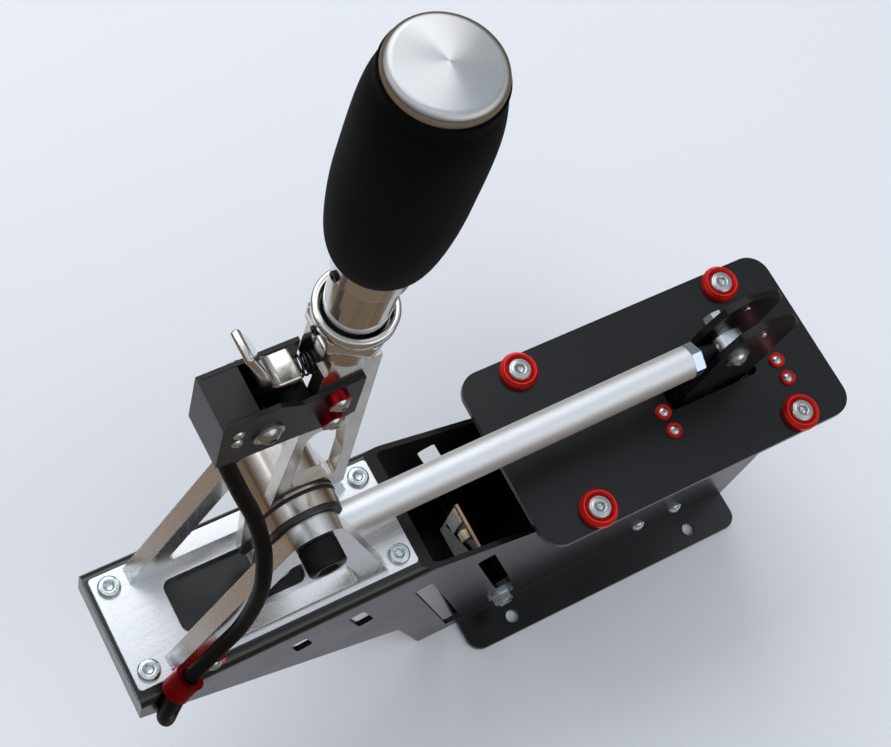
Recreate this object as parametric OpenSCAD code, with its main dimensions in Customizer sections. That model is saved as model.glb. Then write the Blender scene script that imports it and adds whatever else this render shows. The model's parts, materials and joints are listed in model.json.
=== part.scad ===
// Sim racing gear shifter: a lever on an aluminium tower, tied by a rod to a sprung rocker.
// The origin is the centre of the four foot holes on the underside, +X runs from the tower
// to the rear plate, +Y is the left side and +Z is up. All sizes are millimetres.

/* [Chassis] */
// Thickness of the folded steel sheet
sheet_t = 3; // [2:0.5:4]
// Outside width of the channel
channel_w = 72; // [68:1:80]
// Height of the deck above the ground
deck_h = 181; // [170:1:200]
// Outside radius of the deck's folded edges
bend_r = 5; // [4.5:0.5:7]
// Distance from the foot holes' centre to the front of the tower base
tower_reach = 315; // [300:1:330]
// Length of sheet in front of the tower base
nose_lip = 1.5; // [0.5:0.5:6]
// Height of the channel at its nose
nose_h = 23.5; // [18:0.5:30]
// Length of each foot
foot_l = 200; // [180:1:210]
// Width of each foot beside its wall
foot_w = 22; // [20:1:30]
// Distance between the foot holes along the channel
foot_span_x = 134; // [120:1:150]
// Distance between the foot holes across the channel
foot_span_y = 96; // [94:1:98]
// Diameter of the foot holes
foot_hole_d = 8.4; // [6.4:0.2:9]

/* [Tower] */
// Length of the tower base
base_l = 152; // [148:1:156]
// Width of the tower base
base_w = 60; // [58:1:62]
// Thickness of the tower base
base_t = 4; // [3:0.5:6]
// Distance between the base screws along the base
base_span_x = 136; // [130:1:140]
// Distance between the base screws across the base
base_span_y = 45; // [42:1:47]
// Thickness of each side plate
side_t = 9; // [8:0.5:10]
// Distance between the side plates
side_gap = 39; // [38:0.5:40]
// Length of the side plates at the base
side_l = 118; // [112:1:124]
// Distance from the front of the base to the side plates
side_setback = 17.5; // [16:0.5:20]
// Width of the side plates' legs
leg_w = 12; // [10:0.5:14]
// Height of the side plates' bottom rail
rail_w = 11; // [9:0.5:14]
// Height of the lever pivot above the base
pivot_h = 114; // [105:1:120]
// Distance from the front of the base to the lever pivot
pivot_setback = 77; // [72:0.5:82]
// Outside radius of the side plates at the pivot
apex_r = 14; // [13:0.5:18]
// Diameter of the pivot bolt
pivot_d = 12; // [10:0.5:13]

/* [Lever] */
// Width of the lever hub along the pivot
hub_w = 34; // [32:0.5:35]
// Outside diameter of the lever hub
hub_d = 35; // [32:0.5:38]
// Thickness of the lever plate
lever_t = 6; // [4:0.5:7]
// Distance from the middle plane to the lever plate's near face
lever_near = 8; // [7.5:0.5:9]
// Lean of the lever towards the rear at rest, in degrees
lever_lean = 1.05; // [0:0.05:1.5]
// Width of the lever plate at its head
lever_w_top = 24; // [22:1:28]
// Length of the lower arm from the pivot to the rod pin
lower_arm = 90; // [84:1:94]
// Height of the lever head's underside above the pivot
head_lift = 126; // [124:1:134]
// Height of the lever head
head_h = 24; // [20:1:30]
// Width of the lever head
head_w = 18.5; // [16:0.5:22]
// Diameter of the clamp collar
collar_d = 31.4; // [30:0.2:34]
// Height of the clamp collar
collar_h = 13.5; // [12:0.5:18]
// Height of the neck between the lever head and the clamp collar
neck_h = 12; // [8:0.5:16]
// Diameter of the knob stem
stem_d = 20; // [18:0.5:21]
// Length of the knob stem between collar and ring
stem_l = 27.5; // [22:0.5:34]

/* [Knob] */
// Height of the knob's base ring
ring_h = 6; // [5:0.5:10]
// Diameter of the knob's base ring
ring_d = 27.5; // [26:0.5:30]
// Length of the knob's grip
grip_l = 99.5; // [90:0.5:110]
// Largest diameter of the knob's grip
grip_d = 44.2; // [41:0.2:50]
// Diameter of the knob's cap
cap_d = 36.5; // [32:0.5:38]
// Height of the knob's cap
cap_h = 10; // [8:0.5:14]

/* [Rod] */
// Diameter of the rod tube
rod_d = 18; // [11:0.5:20]
// Diameter of the rod's eyes
eye_d = 18; // [17:0.5:19]
// Width of the rod's eyes
eye_w = 8; // [8:0.5:10]
// Diameter of the front rod pin
pin_d = 8; // [6:0.5:9]

/* [Rocker] */
// Distance from the foot holes' centre to the rocker
rocker_x = 35; // [30:1:40]
// Height of the rocker shaft above the ground
rocker_z = 139; // [136:1:141]
// Length of the rocker from its shaft to the rod bolt
rocker_arm = 80; // [76:1:84]
// Distance between the rocker ears
ear_gap = 12; // [11:0.5:14]
// Thickness of each rocker ear
ear_t = 4; // [3:0.5:5]
// Diameter of the rocker shaft
shaft_d = 10; // [8:0.5:11]
// Length of the rocker's spring arm
spring_arm = 50; // [44:1:54]
// Diameter of the rod bolt
rod_bolt_d = 6; // [5:0.5:8]

/* [Rear plate] */
// Length of the rear plate
plate_l = 205; // [190:1:210]
// Width of the rear plate
plate_w = 106; // [102:1:114]
// Thickness of the rear plate
plate_t = 4; // [3:0.5:6]
// Height of the rear plate's underside above the ground
plate_h = 170; // [168:1:176]
// Radius of the rear plate's corners
plate_r = 13; // [8:1:20]
// Distance between the cup washers along the plate
cup_span_x = 136; // [126:1:140]
// Distance between the cup washers across the plate
cup_span_y = 86.5; // [85:0.5:88]
// Outside diameter of the cup washers
cup_d = 21.5; // [17:0.5:23]

/* [Trigger] */
// Length of the trigger box in front of the lever
box_l = 32; // [30:1:34]
// Width of the trigger box
box_w = 23; // [22.5:0.5:26]
// Height of the trigger box
box_h = 36; // [35:0.5:38]
// Thickness of the trigger box's sheet
box_t = 2; // [1.5:0.25:2.5]
// Width of the trigger
trigger_w = 13; // [10:0.5:14]
// Diameter of the trigger axle
axle_d = 6; // [5:0.5:7]

/* [Springs and cable] */
// Outside diameter of the trigger spring
trigger_spring_d = 9; // [7:0.5:10]
// Turns of the trigger spring
trigger_spring_turns = 3; // [2:1:3]
// Outside diameter of the centring springs
centring_spring_d = 16; // [14:0.5:18]
// Turns of each centring spring
centring_spring_turns = 7; // [5:1:8]
// Diameter of the trigger cable
cable_d = 8; // [6:0.5:8]

/* [Hidden] */
$fn = 48;
fit = 0.05;        // radial clearance of shafts in their bores
seat = 0.1;        // radial clearance of screws in their holes
gap = 0.3;         // space between faces that move past each other
open_play = 0.75;  // radial play of the rear rod eye, where the linkage is open

wall_y = channel_w/2;
inner_y = wall_y - sheet_t;
tower_x = -tower_reach;
nose_x = tower_x - nose_lip;
base_top = deck_h + base_t;
deck_end = tower_x + base_l + 1;
pivot_x = tower_x + pivot_setback;
pivot_z = base_top + pivot_h;
side_y = side_gap/2 + side_t;
pin_z = pivot_z - lower_arm;
bolt_z = rocker_z + rocker_arm;
plate_top = plate_h + plate_t;
plate_x = 8;
cup_x = plate_x + 1;
wall_end = foot_l/2;

// Side view of the walls: saddle between tower and plate, and heel under the channel
saddle_x = -65;
saddle_z = 145;
post_x = saddle_x + 12;
heel_x = -127;
step_x = heel_x - 27;
step_z = 66;
slot_top = [[-230.5, 158], [-197.5, 157], [-155.5, 147], [-116.5, 145]];
slot_end = [[-224, 139], [-186, 128], [-105, 13], [-79, 48]];
slot_w = [9, 9, 10.5, 10.5];
slot_r = 2.5;
flange_w = cup_span_y/2 - wall_y + 7;
tail_z = 60;

// Base screws and window
m6_head_d = 11.5;
m6_head_h = 3.3;
plate_head_d = min(13.5, cup_d - 6.6);
window_l = 66;
window_w = 29;
window_r = 5;
window_setback = 31;
nut_d = 11.5;
nut_h = 5;

// Lever and knob, with heights above the pivot along the leaning lever
bush_wall = 2;
bush_d = pivot_d + 2*bush_wall;
bush_flange = side_gap/2 - hub_w/2 - gap;
fork_t = 5;
fork_gap = eye_w + 3;
fork_r = 10;
fork_out = fork_gap/2 + fork_t;
head_top = head_lift + head_h;
head_y1 = 10.7;
neck_d = 23;
collar_z = head_top + neck_h;
hex_h = 8.5;
stem_z = collar_z + 1.5;
ring_z = collar_z + collar_h + stem_l;
grip_z = ring_z + ring_h;
cap_z = grip_z + grip_l;
ring_lip_d = ring_d - 2.5;
stud_d = 10;
core_d = 12;

// Rod: it leans up towards the rocker, and its rear eye hangs half the play low
eye_drop = 0.52;
rod_dx = rocker_x - pivot_x;
rod_dz = bolt_z - eye_drop - pin_z;
rod_y = -max(0, min(1.2, ear_gap/2 - eye_w/2 - gap - 0.5));
rod_l = norm([rod_dx, rod_dz]);
rod_tilt = atan2(rod_dz, rod_dx);
shank_d = 8;
shank_l = 24;
jam_h = 6;
jam_d = min(19, rod_d + 1);
shank_bore = 30;

// Rocker and its springs
ear_y = ear_gap/2;
ear_out = ear_y + ear_t;
hub_r = 13;
ear_pin = [rocker_x + 8, bolt_z + 21];
ear_pin_d = 3.5;
slot_front = 25;
slot_rear = 33.5;
arm_z = rocker_z - spring_arm;
arm_w = 10;
peg_d = 8;
peg_l = 6;
seat_dx = 46;
cradle_t = 4;
cradle_z = 20;
cradle_x = rocker_x + 4;
cradle_screw_dx = 14;
cradle_screw_z = 29;
beam_w = 8;
beam_h = 12;
beam_y = -ear_out - gap - beam_w;
sensor_x = [4, 82.5];
sensor_y = [-10.5, -22.3];
sensor_clear = 7;
sensor_h = plate_h - rocker_z - beam_h/2 - sensor_clear;
magnet_d = 5;
spring_l = seat_dx - cradle_t - arm_w/2;
centring_wire = 2;
trigger_wire = 1;

// Tie rod below the long rear slots
tie = [-76.7, 30];
tie_d = 8;
tie_tube_d = 12;
tie_nut_d = 13;
tie_nut_h = 4.5;
tie_end = 7.5;

// Sensor board and its bracket in the channel
board_x = -122;
board_t = 1.6;
board_z = 118;
board_h = 40;
board_w = 27.5;
bracket_t = 1.6;
bracket_l = 20;

// Trigger box, seen from the side
box_x = pivot_x - 13.7 - box_l;
box_z = pivot_z + head_lift - 29;
box_y0 = -lever_near - box_t;
box_y1 = box_y0 + box_w;
far_l = box_l + 7;
tail_l = box_l + 25;
cover_l = 13.5;
axle_x = box_x + 18;
axle_z = box_z + 15.5;
axle_head_d = 10;
axle_washer_d = 13;
clamp_screw_x = box_x + tail_l - 12.5;
clamp_screw_z = [box_z + 7.5, box_z + 25];
clamp_cup_d = 9.5;
clamp_cup_h = 4;
trigger_y = 2.5;
slab_x = axle_x + 14;
slab_z = axle_z + 13.5;
slab_h = 12;
switch_x = box_x + 5;
switch_z = [box_z + 18.5, box_z + 26];
grommet = [box_x + 7.2, 3.5, box_z];
grommet_d = 13;
switch_screw_d = 2.5;
spring_rise = slab_z + slab_h/2 - pivot_z;
trigger_spring_l = pivot_x + spring_rise*tan(lever_lean) - head_w/2 - slab_x - 0.1;

// Controller box under the deck, with its gland
ctrl_x = tower_x + 88;
ctrl_l = 44;
ctrl_w = 46;
ctrl_h = 27;
socket_w = 12;
socket_h = 11;
socket_deep = 8;
gland_d = 14;
gland_l = 11;
gland_y = -4;
gland_z = deck_h - sheet_t - 15;

// Cable clamp: a ring round the cable and a tab on the near side plate
clamp_ring_d = 15;
clamp_ring_l = 12;
clamp_tab_w = 6;
clamp_tab_h = 9;
clamp_mid = [tower_x + 18.2, -side_y - 8.4, base_top + 8.2];
clamp_run = unit([-8.5, -1.5, -11]);
clamp_screw_at = [tower_x + 36, base_top + 5];

// Route of the trigger cable: down from the box beside the side plate, measured as
// an offset, a place across and a share of the height between base and box
CABLE_UP = [[-1.5, 3.5, 1.038], [0.9, 3.5, 0.977], [3.5, -1, 0.915], [13, -9, 0.806],
    [22.3, -17, 0.706], [27.8, -25, 0.616], [30.4, -side_y - 3, 0.521],
    [33.3, -side_y - 5, 0.408], [35.1, -side_y - 5, 0.256], [30, -side_y - 5.5, 0.156]];
// then through the clamp, round the wall's lower edge and back to the gland
cable_r = cable_d/2;
wall_fall = (deck_h - nose_h - step_z)/(step_x - nose_x);
function wall_low(x) = deck_h - nose_h - wall_fall*(x + nose_lip);
CABLE_LOW = [clamp_mid - 6*clamp_run, clamp_mid + 4*clamp_run,
    [tower_x + 11.2, -wall_y - cable_r - 0.3, deck_h - 4],
    [tower_x + 8.8, -wall_y - cable_r - 0.6, deck_h - 16],
    [tower_x + 9.5, -wall_y - cable_r - 0.8, wall_low(9.5) + 4.5],
    [tower_x + 12, -wall_y - 3.8, wall_low(12) - 3.2],
    [tower_x + 16.5, -wall_y, wall_low(16.5) - cable_r - 1.3],
    [tower_x + 22, -wall_y + 4.5, wall_low(22) - 4.7],
    [tower_x + 30, -wall_y + 12, wall_low(30) + 1],
    [tower_x + 40, -15, gland_z - 18],
    [tower_x + 54, -9, gland_z - 10],
    [tower_x + 66, -5, gland_z - 3.2],
    [ctrl_x - gland_l - 1, gland_y, gland_z], [ctrl_x + 3, gland_y, gland_z]];

CABLE = concat([for (p = CABLE_UP) [tower_x + p[2]*(grommet[0] - tower_x) + p[0], p[1],
    base_top + p[2]*(box_z - base_top)]], CABLE_LOW);

// Placing and drawing helpers

// Cylinder along Y between two places
module y_rod(x, z, d, y0, y1) {
    translate([x, y0, z]) rotate([-90, 0, 0]) cylinder(d = d, h = y1 - y0);
}

// Plate in the XZ plane between two places along Y, drawn as x and z
module y_plate(y0, y1) {
    translate([0, y1, 0]) rotate([90, 0, 0]) linear_extrude(y1 - y0) children();
}

// Two circles with the straight flanks that touch both
module taper_bar(p, r, q, s) {
    d = norm(q - p);
    a = atan2(q[1] - p[1], q[0] - p[0]);
    b = acos((r - s)/d);
    translate(p) circle(r);
    translate(q) circle(s);
    polygon([p + r*[cos(a + b), sin(a + b)], q + s*[cos(a + b), sin(a + b)],
        q + s*[cos(a - b), sin(a - b)], p + r*[cos(a - b), sin(a - b)]]);
}

// Convex outline, counted anticlockwise, with round corners
function unit(v) = v/norm(v);
function corner_centre(a, b, c, r) =
    let (u = unit(a - b), v = unit(c - b), h = unit(u + v))
    b + h*r/sqrt((1 - u*v)/2);
function outward(a, b) = let (u = unit(b - a)) [u[1], -u[0]];
module round_outline(pts, r) {
    n = len(pts);
    centres = [for (i = [0 : n - 1]) corner_centre(pts[(i + n - 1) % n], pts[i], pts[(i + 1) % n], r)];
    for (c = centres) translate(c) circle(r);
    polygon([for (i = [0 : n - 1]) each
        [centres[i] + r*outward(pts[(i + n - 1) % n], pts[i]),
         centres[i] + r*outward(pts[i], pts[(i + 1) % n])]]);
}
module round_rect(l, w, r) {
    round_outline([[-l/2, -w/2], [l/2, -w/2], [l/2, w/2], [-l/2, w/2]], r);
}

// Domed screw with a hexagon socket, head up from the origin, shank down
module button_screw(d, head_d, head_h, l) {
    difference() {
        union() {
            intersection() {
                cylinder(d = head_d, h = head_h);
                dome_r = (pow(head_d/2, 2) + pow(head_h, 2))/(2*head_h);
                translate([0, 0, head_h - dome_r]) sphere(dome_r, $fn = 64);
            }
            translate([0, 0, -l]) cylinder(d = d, h = l + head_h/4);
        }
        translate([0, 0, head_h*0.35]) cylinder(d = d*0.7, h = head_h, $fn = 6);
    }
}

// Socket head screw, head up from the origin, shank down
module cap_screw(d, head_d, head_h, l) {
    difference() {
        union() {
            cylinder(d = head_d - 1, h = head_h);
            cylinder(d = head_d, h = head_h - 0.6);
            translate([0, 0, -l]) cylinder(d = d, h = l + 1);
        }
        translate([0, 0, head_h*0.45]) cylinder(d = head_d*0.56, h = head_h, $fn = 6);
    }
}

module hex_nut(d, bore, h) {
    difference() {
        cylinder(d = d, h = h, $fn = 6);
        translate([0, 0, -1]) cylinder(d = bore, h = h + 2);
    }
}

// Turned ring about Z
module ring(outer, bore, h) {
    difference() {
        cylinder(d = outer, h = h);
        translate([0, 0, -1]) cylinder(d = bore, h = h + 2);
    }
}

// Red cup washer: a dished ring that takes a screw head
module cup_washer(d, head_d, h, bore) {
    rotate_extrude() polygon([[bore/2, 0], [d/2, 0], [d/2, h*0.55], [d/2 - h*0.3, h],
        [head_d/2 + h*0.35, h], [head_d/2 + 0.2, h*0.5], [bore/2, h*0.5]]);
}

// Tubes swept along points
function tangent(path, i) =
    unit(path[min(i + 1, len(path) - 1)] - path[max(i - 1, 0)]);
function square_to(v, t) = unit(v - (v*t)*t);
function side_dirs(path, first) =
    [for (i = 0, n = square_to(first, tangent(path, 0)); i < len(path);
        i = i + 1, n = square_to(n, tangent(path, min(i, len(path) - 1)))) n];
module tube(path, r, sides, first) {
    n = len(path);
    u = side_dirs(path, first);
    points = [for (i = [0 : n - 1]) let (t = tangent(path, i), v = cross(t, u[i]))
        each [for (k = [0 : sides - 1])
            path[i] + r*(cos(360*k/sides)*u[i] + sin(360*k/sides)*v)]];
    walls = [for (i = [0 : n - 2]) each [for (k = [0 : sides - 1])
        let (a = i*sides + k, b = i*sides + (k + 1) % sides, c = a + sides, d = b + sides)
        each [[a, c, b], [b, c, d]]]];
    ends = [for (k = [1 : sides - 2]) each [[0, k, k + 1],
        [(n - 1)*sides, (n - 1)*sides + k + 1, (n - 1)*sides + k]]];
    polyhedron(points, concat(walls, ends), convexity = 6);
}

// Smooth curve through the points of a route
function blend4(a, b, c, d, t) =
    0.5*(2*b + (c - a)*t + (2*a - 5*b + 4*c - d)*t*t + (3*b - a - 3*c + d)*t*t*t);
function smooth(route) =
    let (m = len(route) - 1)
    concat([for (i = [0 : m - 1]) each [for (t = [0, 0.5])
        blend4(route[max(i - 1, 0)], route[i], route[i + 1], route[min(i + 2, m)], t)]], [route[m]]);

// Spring wire along +X: eight points a turn, with a straight end along the axis
coil_steps = 8;
function coil_path(mean_d, wire, turns, l) =
    let (n = turns*coil_steps, run = l - 2*wire)
    concat([[0, 0, mean_d/2]],
        [for (i = [0 : n]) [wire + run*i/n, mean_d/2*sin(360*i/coil_steps), mean_d/2*cos(360*i/coil_steps)]],
        [[l, 0, mean_d/2]]);
function least_gap(path, wire, skip) =
    min([for (i = [1 : len(path) - 2 - skip])
        min([for (j = [i + skip : len(path) - 2]) norm(path[i] - path[j])])]) - wire;
module coil(outer, wire, turns, l) {
    path = coil_path(outer - wire, wire, turns, l);
    echo(least_gap_of_spring = least_gap(path, wire, coil_steps - 2));
    tube(path, wire/2, 6, [0, 1, 0]);
}

// Chassis: folded steel channel with a floor, a tail wall and feet

module wall_outline() {
    polygon([[nose_x, deck_h], [nose_x, deck_h - nose_h], [step_x, step_z], [heel_x, 0],
        [wall_end, 0], [wall_end, plate_h], [post_x, plate_h], [saddle_x, saddle_z],
        [deck_end, deck_h]]);
}

module open_section() {
    for (s = [-1, 1]) translate([s > 0 ? inner_y : -wall_y, 0]) square([sheet_t, plate_h]);
}

module channel_section() {
    difference() {
        union() {
            translate([-wall_y, 0]) square([channel_w, deck_h - bend_r]);
            translate([-wall_y + bend_r, 0]) square([channel_w - 2*bend_r, deck_h]);
            for (s = [-1, 1]) translate([s*(wall_y - bend_r), deck_h - bend_r]) circle(bend_r);
        }
        inner_r = bend_r - sheet_t;
        translate([-inner_y, -1]) square([2*inner_y, deck_h - bend_r + 1]);
        translate([-inner_y + inner_r, -1]) square([2*(inner_y - inner_r), deck_h - sheet_t + 1]);
        for (s = [-1, 1]) translate([s*(wall_y - bend_r), deck_h - bend_r]) circle(max(inner_r, 0.1));
    }
}

module foot(side) {
    y0 = inner_y;
    y1 = wall_y + foot_w;
    difference() {
        translate([0, side*(y0 + y1)/2, 0]) linear_extrude(sheet_t) union() {
            round_rect(foot_l, y1 - y0, 9);
            translate([-foot_l/2, -side*(y1 - y0)/2 + (side > 0 ? 0 : -12)]) square([foot_l, 12]);
        }
        for (x = [-1, 1]) translate([x*foot_span_x/2, side*foot_span_y/2, -1])
            cylinder(d = foot_hole_d, h = sheet_t + 2);
    }
}

module chassis() {
    color("#1b1c1e") difference() {
        union() {
            intersection() {
                y_plate(-wall_y, wall_y) wall_outline();
                union() {
                    translate([nose_x, 0, 0]) rotate([90, 0, 90]) linear_extrude(saddle_x - nose_x)
                        channel_section();
                    translate([saddle_x, 0, 0]) rotate([90, 0, 90]) linear_extrude(wall_end - saddle_x)
                        open_section();
                }
            }
            translate([nose_x, -inner_y - 0.5, deck_h - nose_h])
                cube([sheet_t, 2*inner_y + 1, nose_h - bend_r]);
            translate([-foot_l/2, -inner_y - 0.5, 0]) cube([foot_l, 2*inner_y + 1, sheet_t]);
            translate([wall_end - sheet_t, -inner_y - 0.5, tail_z])
                cube([sheet_t, 2*inner_y + 1, plate_h - tail_z]);
            for (s = [-1, 1]) {
                foot(s);
                translate([post_x, s > 0 ? inner_y : -wall_y - flange_w, plate_h - sheet_t])
                    cube([wall_end - post_x, flange_w + sheet_t, sheet_t]);
            }
        }
        for (i = [0 : 3]) {
            mid = (slot_top[i] + slot_end[i])/2;
            run = slot_end[i] - slot_top[i];
            y_plate(-wall_y - 1, wall_y + 1) translate(mid) rotate(atan2(run[1], run[0]))
                round_rect(norm(run), slot_w[i], slot_r);
        }
        base_holes(deck_h - sheet_t - 1, sheet_t + 2, 6 + 2*seat);
        cup_places() translate([0, 0, plate_h - sheet_t - 1]) cylinder(d = 6 + 2*seat, h = sheet_t + 2);
        y_rod(rocker_x, rocker_z, 6 + 2*seat, -wall_y - 1, wall_y + 1);
        y_rod(tie[0], tie[1], tie_d + 2*seat, -wall_y - 1, wall_y + 1);
        cradle_places() cylinder(d = 5 + 2*seat, h = sheet_t + 6, center = true);
    }
}

// Tower

module base_places() {
    for (x = [-1, 1], y = [-1, 1])
        translate([tower_x + base_l/2 + x*base_span_x/2, y*base_span_y/2, 0]) children();
}
module base_holes(z, h, d) {
    base_places() translate([0, 0, z]) cylinder(d = d, h = h);
}

module tower_base() {
    color("#d4d5d6") difference() {
        translate([tower_x + base_l/2, 0, deck_h]) linear_extrude(base_t) round_rect(base_l, base_w, 2);
        translate([tower_x + window_setback + window_l/2, 0, deck_h - 1]) linear_extrude(base_t + 2)
            round_rect(window_l, window_w, window_r);
        base_holes(deck_h - 1, base_t + 2, 6 + 2*seat);
    }
}

// Side plate: straight outer edges that touch the apex circle, and one window
function leg_slope(corner, apex, side) =
    atan2(apex[1] - corner[1], apex[0] - corner[0]) + side*asin(apex_r/norm(apex - corner));
function leg_touch(corner, apex, side) =
    let (a = leg_slope(corner, apex, side), d = norm(apex - corner))
    corner + sqrt(d*d - apex_r*apex_r)*[cos(a), sin(a)];
function leg_inside(corner, apex, side, h) =
    let (a = leg_slope(corner, apex, side))
    [corner[0] + h/tan(a) + side*leg_w/sin(a), corner[1] + h];
module side_outline() {
    front = [tower_x + side_setback, base_top];
    rear = front + [side_l, 0];
    apex = [pivot_x, pivot_z];
    crown = pivot_h - apex_r - 5;
    difference() {
        union() {
            translate(apex) circle(apex_r);
            polygon([front, rear, leg_touch(rear, apex, -1), leg_touch(front, apex, 1)]);
        }
        round_outline([leg_inside(front, apex, 1, rail_w), leg_inside(rear, apex, -1, rail_w),
            leg_inside(rear, apex, -1, crown), leg_inside(front, apex, 1, crown)], 4);
    }
}

module tower_side(side) {
    color("#cfd0d0") difference() {
        y_plate(side > 0 ? side_gap/2 : -side_y, side > 0 ? side_y : -side_gap/2) side_outline();
        y_rod(pivot_x, pivot_z, pivot_d + 2*fit, -side_y - 1, side_y + 1);
        if (side < 0) y_rod(clamp_screw_at[0], clamp_screw_at[1], 4 + 2*seat, -side_y - 1, 0);
    }
}
module tower_side_left() { tower_side(1); }
module tower_side_right() { tower_side(-1); }

module base_screws() {
    color("#c9d2d6") base_places() translate([0, 0, base_top])
        button_screw(6, m6_head_d, m6_head_h, base_t + sheet_t + nut_h + 1);
}
module base_nuts() {
    color("#c9d2d6") base_places() translate([0, 0, deck_h - sheet_t - nut_h])
        hex_nut(nut_d, 6 + 2*seat, nut_h);
}

module pivot_bolt() {
    color("#17181a") translate([pivot_x, -side_y, pivot_z]) rotate([90, 0, 0])
        cap_screw(pivot_d, pivot_d*1.5, pivot_d, 2*side_y + pivot_d);
}

module pivot_nut() {
    color("#c4c9cc") translate([pivot_x, side_y, pivot_z]) rotate([-90, 0, 0])
        hex_nut(pivot_d*1.8, pivot_d + 2*seat, pivot_d*0.8);
}

// Lever

module lever_bushes() {
    color("#141416") for (s = [-1, 1]) translate([pivot_x, s*hub_w/2, pivot_z]) rotate([-90*s, 0, 0])
        difference() {
            union() {
                cylinder(d = hub_d - 1, h = bush_flange);
                translate([0, 0, -hub_w/2 + 2]) cylinder(d = bush_d, h = hub_w/2);
            }
            translate([0, 0, -hub_w]) cylinder(d = pivot_d + 2*fit, h = 2*hub_w);
        }
}

// Frame of the leaning lever: its origin is the pivot and +Z runs up the lever
module on_lever(h) {
    translate([pivot_x, 0, pivot_z]) rotate([0, lever_lean, 0]) translate([0, 0, h]) children();
}
module lever_outline() {
    low = 5;
    high = head_lift + 14;
    foot = 4.35;
    top = 1.5;
    polygon([[foot - hub_d/2 - 0.65, low], [foot + hub_d/2 + 0.65, low],
        [top + lever_w_top/2, high], [top - lever_w_top/2, high]]);
}
module lever_window() {
    round_outline([[-6.5, 26], [15.4, 20], [13.8, 49], [9.7, 79], [-3.9, 83], [-7.2, 76]], 3);
}
module lever_arm() {
    plate_y1 = -lever_near + lever_t;
    color("#d2d2d0") difference() {
        union() {
            y_rod(pivot_x, pivot_z, hub_d, -hub_w/2, hub_w/2);
            on_lever(0) y_plate(-lever_near, plate_y1) lever_outline();
            for (y0 = [-fork_out, fork_gap/2]) y_plate(y0, y0 + fork_t)
                taper_bar([pivot_x, pivot_z], hub_d/2 - 2, [pivot_x, pin_z], fork_r);
            on_lever(head_lift) translate([-head_w/2, -lever_near, 0])
                cube([head_w, head_y1 + lever_near, head_h]);
            on_lever(head_top - 1) cylinder(d = neck_d, h = neck_h + 1);
        }
        on_lever(0) y_plate(-lever_near - 1, plate_y1 + 1) lever_window();
        y_rod(pivot_x, pivot_z, bush_d + 2*fit, -hub_w, hub_w);
        y_rod(pivot_x, pin_z, pin_d + 2*fit, -hub_w, hub_w);
        for (z = clamp_screw_z) y_rod(clamp_screw_x, z, 4 + 2*seat, -hub_w, hub_w);
        on_lever(head_lift + head_h/2) cylinder(d = stud_d + 2*seat, h = head_h + neck_h);
    }
}

module fork_pin() {
    end = fork_out + 3;
    clip = fork_out + gap;
    color("#b9bdc0") y_rod(pivot_x, pin_z, pin_d, -end, end);
    color("#3a3c3f") for (y0 = [-clip - 2, clip])
        y_rod_ring(pivot_x, pin_z, pin_d + 6, pin_d + 2*seat, y0, y0 + 2);
}

// Clamp collar: hexagon below with flats to the front and rear, round above
hex_d = collar_d + 1.4;
hex_flat = hex_d/2*cos(30);
collar_screw_d = 4;
recess_h = min(7.5, collar_h - 5);
module clamp_collar() {
    color("#dadada") on_lever(collar_z) difference() {
        union() {
            rotate(30) cylinder(d = hex_d, h = hex_h, $fn = 6);
            translate([0, 0, hex_h - 1]) cylinder(d = collar_d, h = collar_h - hex_h + 1);
        }
        translate([0, 0, stem_z - collar_z]) cylinder(d = stem_d + 2*seat, h = collar_h);
        translate([0, 0, collar_h - recess_h]) cylinder(d = stem_d + 6, h = recess_h + 1);
        translate([0, 0, -1]) cylinder(d = stud_d + 2*seat, h = collar_h);
        translate([-hex_d, 0, hex_h/2]) rotate([0, 90, 0])
            cylinder(d = collar_screw_d + 2*seat, h = hex_d - stem_d/2 - 0.5);
    }
}
ring_screw_d = 4;
module grub_screw(d, l) {
    rotate([0, 90, 0]) difference() {
        cylinder(d = d, h = l);
        translate([0, 0, -1]) cylinder(d = d*0.58, h = 3, $fn = 6);
    }
}
module set_screws() {
    color("#55585c") {
        on_lever(collar_z + hex_h/2) translate([-hex_flat - 1.2, 0, 0])
            grub_screw(collar_screw_d, hex_flat - stem_d/2 + 0.5);
        on_lever(ring_z + ring_h*0.4) translate([-ring_d/2 - 1.2, 0, 0]) grub_screw(ring_screw_d, 6.5);
    }
}
module knob_stem() {
    color("#c8c8c6") {
        on_lever(stem_z) cylinder(d = stem_d, h = ring_z - stem_z);
        on_lever(head_lift + head_h/2 + 1) cylinder(d = stud_d, h = stem_z - head_lift - head_h/2);
        on_lever(ring_z - 1) cylinder(d = core_d, h = ring_h + grip_l - 8);
    }
}
module knob_ring() {
    color("#d6d6d4") on_lever(ring_z) difference() {
        union() {
            cylinder(d = ring_d, h = ring_h - 1);
            cylinder(d = ring_lip_d, h = ring_h);
        }
        translate([0, 0, -1]) cylinder(d = core_d + 2*seat, h = ring_h + 2);
        translate([-ring_d/2 - 1, 0, ring_h*0.4]) rotate([0, 90, 0])
            cylinder(d = ring_screw_d + 2*seat, h = 7);
    }
}

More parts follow.
